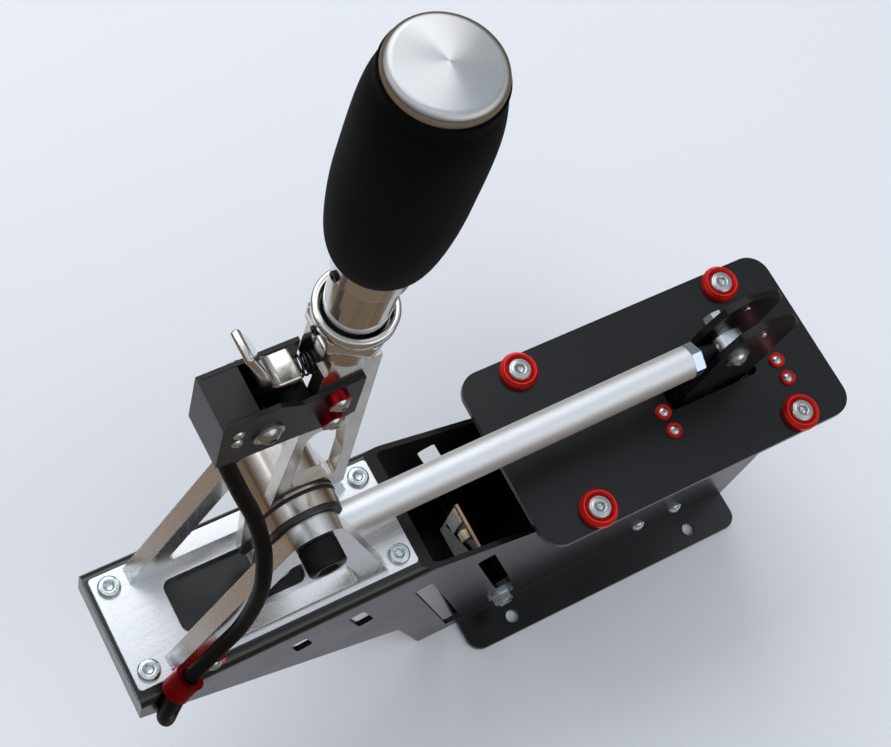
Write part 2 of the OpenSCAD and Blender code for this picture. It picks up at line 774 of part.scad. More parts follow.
// Half width of the grip at a height, as a share of its length: quick flare, long barrel
flare = 0.5;
grip_foot_r = ring_d/2 + 0.3;
function grip_r(t) = grip_foot_r + (grip_d/2 - grip_foot_r)*pow(sin(min(t/flare, 1)*90), 0.44)
    - (t > flare ? (grip_d/2 - cap_d/2 - 0.8)*pow((t - flare)/(1 - flare), 5) : 0);
grip_steps = 20;
module knob_grip() {
    bore = core_d + 2*seat;
    color("#101011") on_lever(grip_z) rotate_extrude()
        polygon(concat([[bore/2, 0]],
            [for (i = [0 : grip_steps]) let (t = pow(i/grip_steps, 1.4)) [grip_r(t), grip_l*t]],
            [[bore/2, grip_l]]));
}
module knob_cap() {
    edge = 3.5;
    color("#d9d9d9") on_lever(cap_z) difference() {
        rotate_extrude() polygon(concat([[0, 0], [cap_d/2, 0]],
            [for (a = [0 : 15 : 90]) [cap_d/2 - edge + edge*cos(a), cap_h - edge - 1 + edge*sin(a)]],
            [[0, cap_h]]));
        translate([0, 0, -1]) cylinder(d = 6, h = 5);
    }
}

// Rod, drawn along +X from the front pin and leaned up to the rocker

module along_rod() {
    translate([pivot_x, rod_y, pin_z]) rotate([0, -rod_tilt, 0]) children();
}
tube_x0 = eye_d/2 + shank_l - 6;
tube_x1 = rod_l - tube_x0;
module rod_tube() {
    color("#c3c4c5") along_rod() translate([tube_x0, 0, 0]) rotate([0, 90, 0])
        difference() {
            cylinder(d = rod_d, h = tube_x1 - tube_x0);
            for (z = [-1, tube_x1 - tube_x0 - shank_bore]) translate([0, 0, z])
                cylinder(d = shank_d + 2*seat, h = shank_bore + 1);
        }
}
module rod_eye(bore, turn) {
    difference() {
        union() {
            y_rod(0, 0, eye_d, -eye_w/2, eye_w/2);
            rotate([0, 90, turn]) cylinder(d = shank_d, h = eye_d/2 + shank_l + 8);
        }
        y_rod(0, 0, bore, -eye_w, eye_w);
    }
}
module rod_eye_front() {
    color("#aeb2b5") along_rod() rod_eye(pin_d + 2*fit, 0);
}
module rod_eye_rear() {
    color("#aeb2b5") along_rod() translate([rod_l, 0, 0]) rod_eye(rod_bolt_d + 2*open_play, 180);
}
module rod_jam_nuts() {
    color("#9fb4c8") along_rod() for (x = [tube_x0 - jam_h, tube_x1]) translate([x, 0, 0]) rotate([0, 90, 0])
        hex_nut(jam_d, shank_d + 2*seat, jam_h);
}

// Rocker

// Rocker ear: a leaning plate with round corners, wide at the rod bolt
module ear_outline() {
    difference() {
        union() {
            translate([rocker_x, rocker_z]) round_outline([[-16, -2], [18, -2], [28, rocker_arm/2],
                [36, rocker_arm + 9], [32, rocker_arm + 19], [6, rocker_arm + 31],
                [-6, rocker_arm + 25], [-14, rocker_arm + 5], [-19, rocker_arm*0.56]], 7);
            translate([rocker_x, rocker_z]) circle(hub_r);
        }
        translate([rocker_x, bolt_z]) circle(d = rod_bolt_d + 2*seat);
        translate([rocker_x, rocker_z]) circle(d = shaft_d + 2*bush_wall + 2*fit);
        translate(ear_pin) circle(d = ear_pin_d + 2*seat);
    }
}

module rocker_ear(y0) {
    color("#18191b") y_plate(y0, y0 + ear_t) ear_outline();
}
module rocker_ear_left() { rocker_ear(ear_y); }
module rocker_ear_right() { rocker_ear(-ear_y - ear_t); }

module rocker_hub() {
    color("#26282b") difference() {
        union() {
            y_rod(rocker_x, rocker_z, 2*hub_r, -ear_y, ear_y);
            y_plate(-arm_w/2, arm_w/2)
                taper_bar([rocker_x, rocker_z], hub_r - 2, [rocker_x, arm_z], arm_w/2 - 1.5);
            translate([rocker_x - arm_w/2, -arm_w/2, arm_z - arm_w]) cube([arm_w, arm_w, 2*arm_w]);
            translate([rocker_x - arm_w/2 - peg_l, 0, arm_z]) rotate([0, 90, 0])
                cylinder(d = peg_d, h = arm_w + 2*peg_l);
        }
        y_rod(rocker_x, rocker_z, shaft_d + 2*bush_wall + 2*fit, -ear_gap, ear_gap);
    }
}
module rocker_bushes() {
    color("#c9a15a") for (y0 = [-ear_out, 0.5])
        y_rod_ring(rocker_x, rocker_z, shaft_d + 2*bush_wall, shaft_d + 2*fit, y0, y0 + ear_out - 0.5);
}

module y_rod_ring(x, z, outer, bore, y0, y1) {
    difference() {
        y_rod(x, z, outer, y0, y1);
        y_rod(x, z, bore, y0 - 1, y1 + 1);
    }
}
module rocker_shaft() {
    color("#b4b8bb") difference() {
        y_rod(rocker_x, rocker_z, shaft_d, -inner_y, inner_y);
        for (y0 = [-inner_y - 1, inner_y - 16])
            y_rod(rocker_x, rocker_z, 6 + 2*seat, y0, y0 + 17);
    }
}

beam_out = -beam_y + gap;
module shaft_spacers() {
    color("#b4b8bb") {
        y_rod_ring(rocker_x, rocker_z, shaft_d + 5, shaft_d + 2*seat, ear_out + gap, inner_y);
        y_rod_ring(rocker_x, rocker_z, shaft_d + 5, shaft_d + 2*seat, -inner_y, -beam_out);
    }
}
module shaft_screws() {
    color("#c9d2d6") for (s = [-1, 1]) translate([rocker_x, s*wall_y, rocker_z]) rotate([-90*s, 0, 0])
        button_screw(6, m6_head_d, m6_head_h, 15);
}

rod_washer_d = 14;
rod_washer_t = 1.5;
module rod_bolt() {
    out = ear_out + rod_washer_t;
    color("#c4c9cc") {
        translate([rocker_x, -out, bolt_z]) rotate([90, 0, 0])
            button_screw(rod_bolt_d, rod_bolt_d*1.75, rod_bolt_d*0.55, 2*out + rod_bolt_d*0.9);
        for (y0 = [-out, ear_out])
            y_rod_ring(rocker_x, bolt_z, rod_washer_d, rod_bolt_d + 2*seat, y0, y0 + rod_washer_t);
        translate([rocker_x, out, bolt_z]) rotate([-90, 0, 0])
            hex_nut(rod_bolt_d*1.9, rod_bolt_d + 2*seat, rod_bolt_d*0.8);
    }
}
module rod_bolt_spacers() {
    near = rod_y - eye_w/2 - gap;
    far = rod_y + eye_w/2 + gap;
    color("#8d9194") for (y = [[-ear_y, near], [far, ear_y]])
        y_rod_ring(rocker_x, bolt_z, rod_bolt_d + 5, rod_bolt_d + 2*seat, y[0], y[1]);
}
module ear_pins() {
    color("#d0d3d5") for (y0 = [-ear_out - 0.4, ear_y - 0.3])
        y_rod(ear_pin[0], ear_pin[1], ear_pin_d, y0, y0 + ear_t + 0.7);
}

module sensor_beam() {
    x0 = sensor_x[0] - 6;
    x1 = sensor_x[1] + 6;
    color("#3b3d40") difference() {
        union() {
            translate([x0, beam_y, rocker_z - beam_h/2]) cube([x1 - x0, beam_w, beam_h]);
            y_rod(rocker_x, rocker_z, 2*hub_r, beam_y, beam_y + beam_w + gap);
        }
        y_rod(rocker_x, rocker_z, shaft_d + 2*seat, beam_y - 1, 0);
        for (x = sensor_x) translate([x, beam_y + beam_w/2, rocker_z + beam_h/2 - 3])
            cylinder(d = magnet_d + 2*fit, h = 4);
    }
}
module magnets() {
    color("#b9bcc0") for (x = sensor_x) translate([x, beam_y + beam_w/2, rocker_z + beam_h/2 - 3])
        cylinder(d = magnet_d, h = 3);
}

module centring_spring_front() {
    color("#a9adb0") translate([rocker_x - seat_dx + cradle_t, 0, arm_z])
        coil(centring_spring_d, centring_wire, centring_spring_turns, spring_l);
}
module centring_spring_rear() {
    color("#a9adb0") translate([rocker_x + arm_w/2, 0, arm_z])
        coil(centring_spring_d, centring_wire, centring_spring_turns, spring_l);
}

module cradle_places() {
    for (s = [-1, 1], x = [-1, 1])
        translate([cradle_x + x*cradle_screw_dx, s*inner_y, cradle_screw_z]) rotate([-90*s, 0, 0])
            children();
}
module spring_cradle() {
    tab_l = 2*cradle_screw_dx + 18;
    color("#85898c") difference() {
        union() {
            translate([rocker_x - seat_dx, -inner_y, cradle_z]) cube([2*seat_dx, 2*inner_y, cradle_t]);
            for (s = [-1, 1]) {
                translate([cradle_x - tab_l/2, s > 0 ? inner_y - cradle_t : -inner_y, cradle_z])
                    cube([tab_l, cradle_t, 18]);
                seat_x = s > 0 ? seat_dx - cradle_t : -seat_dx;
                translate([rocker_x + seat_x, -14, cradle_z]) cube([cradle_t, 28, arm_z + 14 - cradle_z]);
                peg_x = s > 0 ? seat_dx - cradle_t - peg_l : -seat_dx + cradle_t;
                translate([rocker_x + peg_x, 0, arm_z]) rotate([0, 90, 0]) cylinder(d = peg_d, h = peg_l);
            }
        }
        cradle_places() cylinder(d = 5 + 2*seat, h = 30, center = true);
    }
}
module cradle_screws() {
    color("#c9d2d6") cradle_places() translate([0, 0, sheet_t])
        button_screw(5, 9.5, 2.8, sheet_t + cradle_t + 1);
}

// Rear plate

module cup_places() {
    for (x = [-1, 1], y = [-1, 1]) translate([cup_x + x*cup_span_x/2, y*cup_span_y/2, 0]) children();
}
module sensor_places() {
    for (x = sensor_x, y = sensor_y) translate([x, y, plate_top]) children();
}
module rear_plate() {
    color("#1a1b1d") difference() {
        translate([plate_x, 0, plate_h]) linear_extrude(plate_t) round_rect(plate_l, plate_w, plate_r);
        translate([rocker_x, 0, plate_h - 1]) linear_extrude(plate_t + 2)
            translate([(slot_rear - slot_front)/2, 0]) round_rect(slot_front + slot_rear, 2*ear_out + 4, 3);
        cup_places() translate([0, 0, plate_h - 1]) cylinder(d = 6 + 2*seat, h = plate_t + 2);
        sensor_places() translate([0, 0, -plate_t - 1]) cylinder(d = 3 + 2*seat, h = plate_t + 2);
    }
}
cup_h = 5;
module cup_washers() {
    color("#c4161c") cup_places() translate([0, 0, plate_top])
        cup_washer(cup_d, plate_head_d, cup_h, 6 + 2*seat);
}
module plate_screws() {
    color("#c8cacc") cup_places() translate([0, 0, plate_top + cup_h*0.5])
        button_screw(6, plate_head_d, m6_head_h, cup_h*0.5 + plate_t + sheet_t + 6);
}
module sensor_blocks() {
    color("#202226") difference() {
        for (x = sensor_x) translate([x - 7, sensor_y[1] - 6, plate_h - sensor_h])
            cube([14, sensor_y[0] - sensor_y[1] + 11, sensor_h]);
        sensor_places() translate([0, 0, -plate_t - 10]) cylinder(d = 3 + 2*seat, h = plate_t + 11);
    }
}

module sensor_washers() {
    color("#c4161c") sensor_places() cup_washer(9.2, 6.4, 2, 3 + 2*seat);
}
module sensor_screws() {
    color("#c8cacc") sensor_places() translate([0, 0, 1]) button_screw(3, 6.4, 1.7, plate_t + 9);
}

// Tie rod, sensor board and controller in the channel

module tie_rod() {
    color("#b9bcc0") union() {
        y_rod(tie[0], tie[1], tie_d, -wall_y - tie_end, wall_y + tie_end);
        y_rod(tie[0], tie[1], tie_tube_d, -inner_y, inner_y);
    }
    color("#c6cacc") for (s = [-1, 1]) translate([tie[0], s*wall_y, tie[1]]) rotate([-90*s, 0, 0]) {
        ring(17, tie_d + 2*seat, 1.6);
        translate([0, 0, 1.6]) hex_nut(tie_nut_d, tie_d + 2*seat, tie_nut_h);
    }
}
// Angle bracket on the near wall, with a sloping top edge on its cross leg
module board_bracket() {
    low = board_z + 8;
    high = low + 24;
    color("#c4c7c8") union() {
        translate([board_x - bracket_l, -inner_y, low]) cube([bracket_l, bracket_t, high - low]);
        translate([board_x - bracket_t, 0, 0]) rotate([90, 0, 90]) linear_extrude(bracket_t)
            polygon([[-inner_y, low], [-inner_y + 25, low], [-inner_y + 25, low + 8], [-inner_y, high]]);
    }
}
module sensor_board() {
    color("#8a6a44") translate([board_x, -inner_y + gap, board_z]) cube([board_t, board_w, board_h]);
}

module controller_box() {
    color("#1f2123") difference() {
        translate([ctrl_x, -ctrl_w/2, deck_h - sheet_t - ctrl_h]) cube([ctrl_l, ctrl_w, ctrl_h]);
        translate([ctrl_x + ctrl_l - socket_deep, -socket_w/2, deck_h - sheet_t - (ctrl_h + socket_h)/2])
            cube([socket_deep + 1, socket_w, socket_h]);
        translate([ctrl_x, gland_y, gland_z]) rotate([0, 90, 0])
            cylinder(d = cable_d + 3*gap, h = 14, center = true);
        for (x = [5, ctrl_l - 5], y = [-1, 1])
            translate([ctrl_x + x, y*(ctrl_w/2 - 5), deck_h - sheet_t - ctrl_h - 1])
                cylinder(d = 5, h = 3);
    }
}
module cable_gland() {
    color("#1a1b1c") translate([ctrl_x, gland_y, gland_z]) rotate([0, -90, 0]) difference() {
        union() {
            cylinder(d = gland_d + 3, h = 4, $fn = 6);
            cylinder(d = gland_d, h = gland_l);
        }
        translate([0, 0, -1]) cylinder(d = cable_d + 3*gap, h = gland_l + 2);
    }
}

// Trigger unit on the lever

module near_wall_outline() {
    translate([box_x, box_z]) polygon([[0, 0], [box_l + 0.7, -2.2], [tail_l - 9, -4.8], [tail_l, -1.3],
        [tail_l - 0.7, box_h - 5], [box_l - 1, box_h - 7], [box_l - 11, box_h], [0, box_h]]);
}
module trigger_box() {
    color("#191a1c") difference() {
        union() {
            y_plate(box_y0, box_y0 + box_t) near_wall_outline();
            translate([box_x, box_y1 - box_t, box_z]) cube([far_l, box_t, box_h]);
            translate([box_x, box_y0, box_z]) cube([box_l - 1, box_w, box_t]);
        }
        y_rod(axle_x, axle_z, axle_d + 2*seat, box_y0 - 1, box_y1 + 1);
        for (z = switch_z) y_rod(switch_x, z, switch_screw_d + 2*seat, box_y0 - 1, box_y0 + box_t + 1);
        for (z = clamp_screw_z) y_rod(clamp_screw_x, z, 4 + 2*seat, box_y0 - 1, box_y0 + box_t + 1);
        translate(grommet - [0, 0, 1]) cylinder(d = grommet_d - 3, h = box_t + 2);
    }
}
// Cover: an end plate with a strip that folds back between the walls
module trigger_cover() {
    color("#26272a") {
        translate([box_x - box_t, box_y0, box_z + 1]) cube([box_t, box_w, box_h - 1]);
        translate([box_x - box_t, box_y0 + box_t + seat, box_z + box_h - box_t])
            cube([cover_l + box_t, box_w - 2*box_t - 2*seat, box_t]);
    }
}
module trigger() {
    boss_r = 6.5;
    y0 = trigger_y - trigger_w/2;
    hub = [axle_x, axle_z];
    knee = hub + [1.7, 19.5];
    bend = hub + [-3.8, 40.5];
    top = hub + [-10.8, 59];
    color("#d8d8d6") difference() {
        union() {
            y_plate(y0, y0 + trigger_w) {
                taper_bar(hub, boss_r, knee, 4.5);
                taper_bar(knee, 3, bend, 2.2);
                taper_bar(bend, 2.2, top, 1.8);
                translate([knee[0] - 2, slab_z]) square([slab_x - knee[0] + 2, slab_h]);
            }
            y_rod(axle_x, axle_z, 2*boss_r, box_y0 + box_t + gap, box_y1 - box_t - gap);
        }
        y_rod(axle_x, axle_z, axle_d + 2*fit, box_y0, box_y1);
    }
}
module trigger_axle() {
    color("#c3c7ca") {
        translate([axle_x, box_y0 - 1, axle_z]) rotate([90, 0, 0])
            button_screw(axle_d, axle_head_d, 3.2, box_w + 8);
        y_rod_ring(axle_x, axle_z, axle_washer_d, axle_d + 2*seat, box_y0 - 1, box_y0);
        translate([axle_x, box_y1, axle_z]) rotate([-90, 0, 0])
            hex_nut(axle_head_d + 1.5, axle_d + 2*seat, 5);
    }
}
module trigger_spring() {
    color("#9da1a4") translate([slab_x, trigger_y, slab_z + slab_h/2])
        coil(trigger_spring_d, trigger_wire, trigger_spring_turns, trigger_spring_l);
}
module trigger_washers() {
    color("#c4161c") for (z = clamp_screw_z)
        y_rod_ring(clamp_screw_x, z, clamp_cup_d, 4 + 2*seat, box_y0 - clamp_cup_h, box_y0);
}
module trigger_screws() {
    color("#c8cacc") {
        for (z = clamp_screw_z) translate([clamp_screw_x, box_y0 - clamp_cup_h, z]) rotate([90, 0, 0])
            button_screw(4, 7.6, 2.2, clamp_cup_h + box_t + lever_t);
        for (z = switch_z) translate([switch_x, box_y0, z]) rotate([90, 0, 0])
            button_screw(switch_screw_d, 4.7, 1.5, 8);
    }
}
module trigger_switch() {
    mid_z = (switch_z[0] + switch_z[1])/2;
    color("#2b2d30") difference() {
        translate([switch_x - 4, box_y0 + box_t, mid_z - 10]) cube([8, 6.5, 20]);
        for (z = switch_z) y_rod(switch_x, z, switch_screw_d + 2*seat, box_y0, box_y0 + 12);
    }
}
module cable_grommet() {
    rim = 2.5;
    color("#151515") translate(grommet - [0, 0, rim]) difference() {
        union() {
            cylinder(d = grommet_d, h = rim);
            cylinder(d = grommet_d - 3 - 2*fit, h = box_t + rim);
        }
        translate([0, 0, -1]) cylinder(d = cable_d + 3*gap, h = box_t + 2*rim);
    }
}

// Cable and clamp

module trigger_cable() {
    color("#131314") tube(smooth(CABLE), cable_d/2, 10, [1, 0, 0]);
}
module along_clamp(back, h, d) {
    translate(clamp_mid) rotate([0, acos(clamp_run[2]), atan2(clamp_run[1], clamp_run[0])])
        translate([0, 0, -back]) cylinder(d = d, h = h);
}
module cable_clamp() {
    color("#b8141b") difference() {
        union() {
            along_clamp(clamp_ring_l/2, clamp_ring_l, clamp_ring_d);
            translate([clamp_mid[0] - 1.5, -side_y - clamp_tab_w, base_top])
                cube([clamp_screw_at[0] - clamp_mid[0] + 7.5, clamp_tab_w, clamp_tab_h]);
        }
        along_clamp(30, 60, cable_d + 4*gap);
        y_rod(clamp_screw_at[0], clamp_screw_at[1], 4 + 2*seat, -side_y - clamp_tab_w - 1, -side_y + 1);
        translate([clamp_mid[0] - 30, -side_y, base_top - 30]) cube([60, side_y, 60]);
        translate([clamp_mid[0] - 30, -side_y - 30, base_top - 30]) cube([60, 30, 30]);
    }
}
module clamp_screw() {
    color("#c8cacc") translate([clamp_screw_at[0], -side_y - clamp_tab_w, clamp_screw_at[1]])
        rotate([90, 0, 0]) button_screw(4, 7.6, 2.2, clamp_tab_w + side_t - 1);
}

chassis();
tower_base();
tower_side_left();
tower_side_right();
base_screws();
base_nuts();
pivot_bolt();
pivot_nut();
lever_bushes();
lever_arm();
fork_pin();
clamp_collar();
set_screws();
knob_stem();
knob_ring();
knob_grip();
knob_cap();
rod_tube();
rod_eye_front();
rod_eye_rear();
rod_jam_nuts();
rocker_ear_left();
rocker_ear_right();
rocker_hub();
rocker_bushes();
rocker_shaft();
shaft_spacers();
shaft_screws();
rod_bolt();
rod_bolt_spacers();
ear_pins();
sensor_beam();
magnets();
centring_spring_front();
centring_spring_rear();
spring_cradle();
cradle_screws();
rear_plate();
cup_washers();
plate_screws();
sensor_blocks();
sensor_washers();
sensor_screws();
tie_rod();
board_bracket();
sensor_board();
controller_box();
cable_gland();
trigger_box();
trigger_cover();
trigger();
trigger_axle();
trigger_spring();
trigger_washers();
trigger_screws();
trigger_switch();
cable_grommet();
trigger_cable();
cable_clamp();
clamp_screw();
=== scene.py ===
"""Looks of the gear shifter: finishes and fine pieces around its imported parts."""

import json
import math
from collections import namedtuple

import bpy
import numpy as np
from mathutils import Matrix


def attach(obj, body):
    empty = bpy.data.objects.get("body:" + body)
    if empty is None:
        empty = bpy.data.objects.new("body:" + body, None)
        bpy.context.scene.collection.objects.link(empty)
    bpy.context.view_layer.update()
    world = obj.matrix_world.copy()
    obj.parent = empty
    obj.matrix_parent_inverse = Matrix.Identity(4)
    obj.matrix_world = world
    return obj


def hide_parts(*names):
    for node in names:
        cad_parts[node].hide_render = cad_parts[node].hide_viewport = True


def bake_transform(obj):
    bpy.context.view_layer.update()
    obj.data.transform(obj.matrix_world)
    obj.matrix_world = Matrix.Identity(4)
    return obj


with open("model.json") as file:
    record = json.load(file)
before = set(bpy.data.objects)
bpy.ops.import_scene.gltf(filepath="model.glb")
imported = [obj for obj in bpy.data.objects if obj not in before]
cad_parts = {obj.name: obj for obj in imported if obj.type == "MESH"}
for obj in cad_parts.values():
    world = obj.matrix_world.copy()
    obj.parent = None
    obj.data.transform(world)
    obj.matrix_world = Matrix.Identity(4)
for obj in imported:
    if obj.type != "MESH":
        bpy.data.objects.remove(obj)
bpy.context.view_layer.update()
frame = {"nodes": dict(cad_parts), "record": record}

bl_info = {
    "name": "Gear shifter looks",
    "version": (1, 0, 0),
    "blender": (4, 5, 0),
    "location": "3D View > Sidebar > Shifter",
    "description": "Finishes and fine pieces of a gear shifter",
    "category": "Object",
}

MM = 0.001
NODES = frame["nodes"]
FINISHES = {}

# Shared places, in millimetres: the lever's pivot, and the lever's lean towards the rear
PIVOT = np.array([-238.0, 0.0, 299.0])
LEAN = math.radians(1.05)

# Heights along the lever, in millimetres above its pivot
COLLAR_UP, RECESS_UP, RING_UP, GRIP_UP, CAP_UP = 162.0, 168.05, 203.2, 215.0, 308.5

# Route of the trigger cable from the trigger box down to the gland, in millimetres
CABLE_ROUTE = np.array([
    (-276.5, 3.5, 404.0), (-276.5, 3.5, 391.1), (-276.3, -1.0, 378.1), (-271.0, -9.0, 355.1),
    (-265.5, -17.0, 334.0), (-263.5, -25.0, 315.0), (-264.5, -31.5, 294.9), (-266.0, -33.5, 271.1),
    (-270.0, -33.5, 239.0), (-279.0, -34.0, 217.9), (-293.2, -36.3, 197.9), (-299.2, -37.3, 190.1),
    (-303.8, -40.3, 177.0), (-306.2, -40.6, 165.0), (-305.5, -40.8, 155.8), (-303.0, -39.8, 146.7),
    (-298.5, -36.0, 142.1), (-293.0, -31.5, 139.6), (-285.0, -24.0, 140.8), (-275.0, -15.0, 145.0),
    (-261.0, -9.0, 153.0), (-249.0, -5.0, 159.8), (-239.0, -4.0, 163.0), (-224.0, -4.0, 163.0)])


def linear(code):
    """sRGB hex code to linear red, green, blue and alpha."""
    parts = [int(code[i:i + 2], 16)/255 for i in (1, 3, 5)]
    return tuple(c/12.92 if c <= 0.04045 else ((c + 0.055)/1.055)**2.4 for c in parts) + (1.0,)


# Surfaces

def skin(name, rings, first=False, last=False, lay=None, run=None, flat=False, loop=False):
    """A surface over a grid of points: rings[j, i] is point i of ring j, each ring closed on itself.
    Every four neighbours make a face; first and last close the end rings with a fan round their
    middle, or with one flat face where flat is set. The UV map's u goes round each ring from 0 to 1
    and v along the rings by run (0 to 1 when it isn't given). lay is kept as a point attribute.
    With loop the last ring is joined to the first."""
    n, m = rings.shape[:2]
    points = rings.reshape(-1, 3)
    i = np.arange(n*m).reshape(n, m)
    if loop:
        i, n = np.vstack([i, i[:1]]), n + 1
    beside = np.roll(i, -1, 1)
    quads = np.stack([i[:-1], beside[:-1], beside[1:], i[1:]], -1).reshape(-1, 4)
    v = np.linspace(0, 1, n) if run is None else np.asarray(run, float)
    u = np.arange(m)/m
    corner_u = np.broadcast_to(u[None, :, None] + np.array([0, 1/m, 1/m, 0]), (n - 1, m, 4))
    corner_v = np.stack([v[:-1], v[:-1], v[1:], v[1:]], -1)[:, None, :].repeat(m, 1)
    uv = np.stack([corner_u, corner_v], -1).reshape(-1, 2)
    faces = quads.tolist()
    for ring, wanted, flip in ((0, first, True), (n - 1, last, False)):
        if wanted and flat:
            faces.append((i[ring][::-1] if flip else i[ring]).tolist())
            uv = np.vstack([uv, np.stack([u, np.full(m, v[ring])], -1)])
        elif wanted:
            points = np.vstack([points, rings[ring].mean(0)])
            sides = [beside[ring], i[ring]] if flip else [i[ring], beside[ring]]
            faces += np.stack([np.full(m, len(points) - 1)] + sides, -1).tolist()
            ends = [u + 1/m, u] if flip else [u, u + 1/m]
            fan_u = np.stack([u + 0.5/m] + ends, -1)
            uv = np.vstack([uv, np.stack([fan_u, np.full((m, 3), v[ring])], -1).reshape(-1, 2)])
    mesh = bpy.data.meshes.new(name)
    mesh.from_pydata((points*MM).tolist(), [], faces)
    mesh.uv_layers.new(name="UVMap").data.foreach_set("uv", uv.astype(np.float32).ravel())
    mesh.polygons.foreach_set("use_smooth", np.ones(len(faces), bool))
    if lay is not None:
        values = np.zeros(len(points), np.float32)
        values[:lay.size] = lay.ravel()
        mesh.attributes.new("lay", "FLOAT", "POINT").data.foreach_set("value", values)
    mesh.update()
    piece = bpy.data.objects.new(name, mesh)
    bpy.context.scene.collection.objects.link(piece)
    return piece


def angles(steps):
    """Angles of a full round in equal steps."""
    return np.arange(steps)*2*np.pi/steps


def hexagon(steps):
    """For each angle of a round, the distance to a hexagon's side, where its flats lie at 1."""
    return 1/np.cos((angles(steps) + np.pi/6) % (np.pi/3) - np.pi/6)


def turned(radius, height, steps, extra=0):
    """A turned surface about Z: at every station a circle of that radius and height. extra is
    added to the radius for each station and angle."""
    angle = angles(steps)
    r = np.broadcast_to(np.asarray(radius, float)[:, None] + extra, (len(radius), steps))
    z = np.broadcast_to(np.asarray(height, float)[:, None], r.shape)
    return np.stack([r*np.cos(angle), r*np.sin(angle), z], -1)


def across(points, centre):
    """A turned surface laid over, so that its height runs along -Y from the centre."""
    return np.stack([points[..., 0], -points[..., 2], points[..., 1]], -1) + np.asarray(centre)


def slab(outline, y0, y1, edge, rows=6):
    """A plate with an outline in X and Z between two places along Y, whose edges are quarter
    rounds: near each face the outline draws in by edge*(1 - sin) while Y runs by edge*(1 - cos).
    Drawing in goes along the mean of the two sides' normals at each point."""
    ahead = np.roll(outline, -1, 0) - outline
    side = np.stack([ahead[:, 1], -ahead[:, 0]], -1)/np.linalg.norm(ahead, axis=1, keepdims=True)
    out = side + np.roll(side, 1, 0)
    out /= np.linalg.norm(out, axis=1, keepdims=True)
    a = np.linspace(0, np.pi/2, rows)
    inset = edge*np.r_[1 - np.sin(a), 1 - np.sin(a[::-1])]
    y = np.r_[y1 - edge + edge*np.cos(a), y0 + edge - edge*np.cos(a[::-1])]
    xz = outline[None] - inset[:, None, None]*out[None]
    return np.stack([xz[..., 0], np.broadcast_to(y[:, None], xz.shape[:2]), xz[..., 1]], -1)


def block(name, x, y, z, edge):
    """A block between two places along each axis, with rounded edges."""
    outline = np.array([(x[0], z[0]), (x[1], z[0]), (x[1], z[1]), (x[0], z[1])])
    return skin(name, slab(outline, y[0], y[1], edge), first=True, last=True, flat=True)


def arc(centre, radius, start, stop, count):
    """Points of an arc in X and Z, from one angle to another in degrees."""
    a = np.radians(np.linspace(start, stop, count))
    return np.array(centre) + radius*np.stack([np.cos(a), np.sin(a)], -1)


def on_lever(points, height):
    """Points about the lever's own axis, lifted along it and leaned with it about the pivot."""
    x, y, z = points[..., 0], points[..., 1], points[..., 2] + height
    c, s = math.cos(LEAN), math.sin(LEAN)
    return np.stack([c*x + s*z, y, -s*x + c*z], -1) + PIVOT


def curve_through(route, steps):
    """A smooth curve through the route's points: between two of them it is the cubic whose slope
    at each is half the step between that point's neighbours."""
    k = np.arange(len(route) - 1)
    a, b = route[np.maximum(k - 1, 0)], route[k]
    c, d = route[k + 1], route[np.minimum(k + 2, len(route) - 1)]
    t = (np.arange(steps)/steps)[None, :, None]
    p = 0.5*(2*b[:, None] + (c - a)[:, None]*t + (2*a - 5*b + 4*c - d)[:, None]*t**2
             + (3*b - a - 3*c + d)[:, None]*t**3)
    return np.vstack([p.reshape(-1, route.shape[1]), route[-1:]])


def evenly(path, count):
    """The path again, with its points the same distance apart."""
    s = np.r_[0, np.cumsum(np.linalg.norm(np.diff(path, axis=0), axis=1))]
    at = np.linspace(0, s[-1], count)
    return np.stack([np.interp(at, s, path[:, k]) for k in range(3)], -1), at


def directions(path):
    """The unit direction of a path at each of its points."""
    run = np.gradient(path, axis=0)
    return run/np.linalg.norm(run, axis=1, keepdims=True)


def tube(path, radius, sides, aside):
    """Rings round a path: each lies square to it, on two directions made from aside."""
    run = directions(path)
    one = aside - (run @ aside)[:, None]*run
    one /= np.linalg.norm(one, axis=1, keepdims=True)
    two = np.cross(run, one)
    a = angles(sides)[:, None]
    r = np.broadcast_to(radius, (len(path), sides))[..., None]
    return path[:, None] + r*(np.cos(a)*one[:, None] + np.sin(a)*two[:, None])


def coil(start, outer, wire, turns, length, per_turn=48, sides=14):
    """A compression spring along +X: a helix that rises slowly in its end turns, as closed ends do,
    and faster between them. The wire's section is a circle on the outward direction and the
    direction square to it."""
    n = int(turns*per_turn)
    angle = np.linspace(0, 2*np.pi*turns, n + 1)
    t = angle/angle[-1]
    flat = 0.75/turns
    rise = np.clip((t - flat)/(1 - 2*flat), 0, 1)
    rise = wire*0.5 + (length - wire)*(0.12*t + 0.88*(0.35*rise + 0.65*rise*rise*(3 - 2*rise)))
    mean = (outer - wire)/2
    out = np.stack([np.zeros(n + 1), np.sin(angle), np.cos(angle)], -1)
    centre = mean*out + np.stack([rise, np.zeros(n + 1), np.zeros(n + 1)], -1) + start
    side = np.cross(directions(centre), out)
    a = angles(sides)[:, None]
    return centre[:, None] + wire/2*(np.cos(a)*out[:, None] + np.sin(a)*side[:, None])


# Materials

# Noise whose features are about size mm wide, and longer along an axis where stretch is below 1
Grain = namedtuple("Grain", "size stretch detail", defaults=((1, 1, 1), 2.0))


def add(tree, kind, inputs=None, **settings):
    """Adds a node with its settings; an input is a value or another node's output."""
    node = tree.nodes.new(kind)
    for key, value in settings.items():
        setattr(node, key, value)
    for key, value in (inputs or {}).items():
        if isinstance(value, bpy.types.NodeSocket):
            tree.links.new(value, node.inputs[key])
        else:
            node.inputs[key].default_value = value
    return node


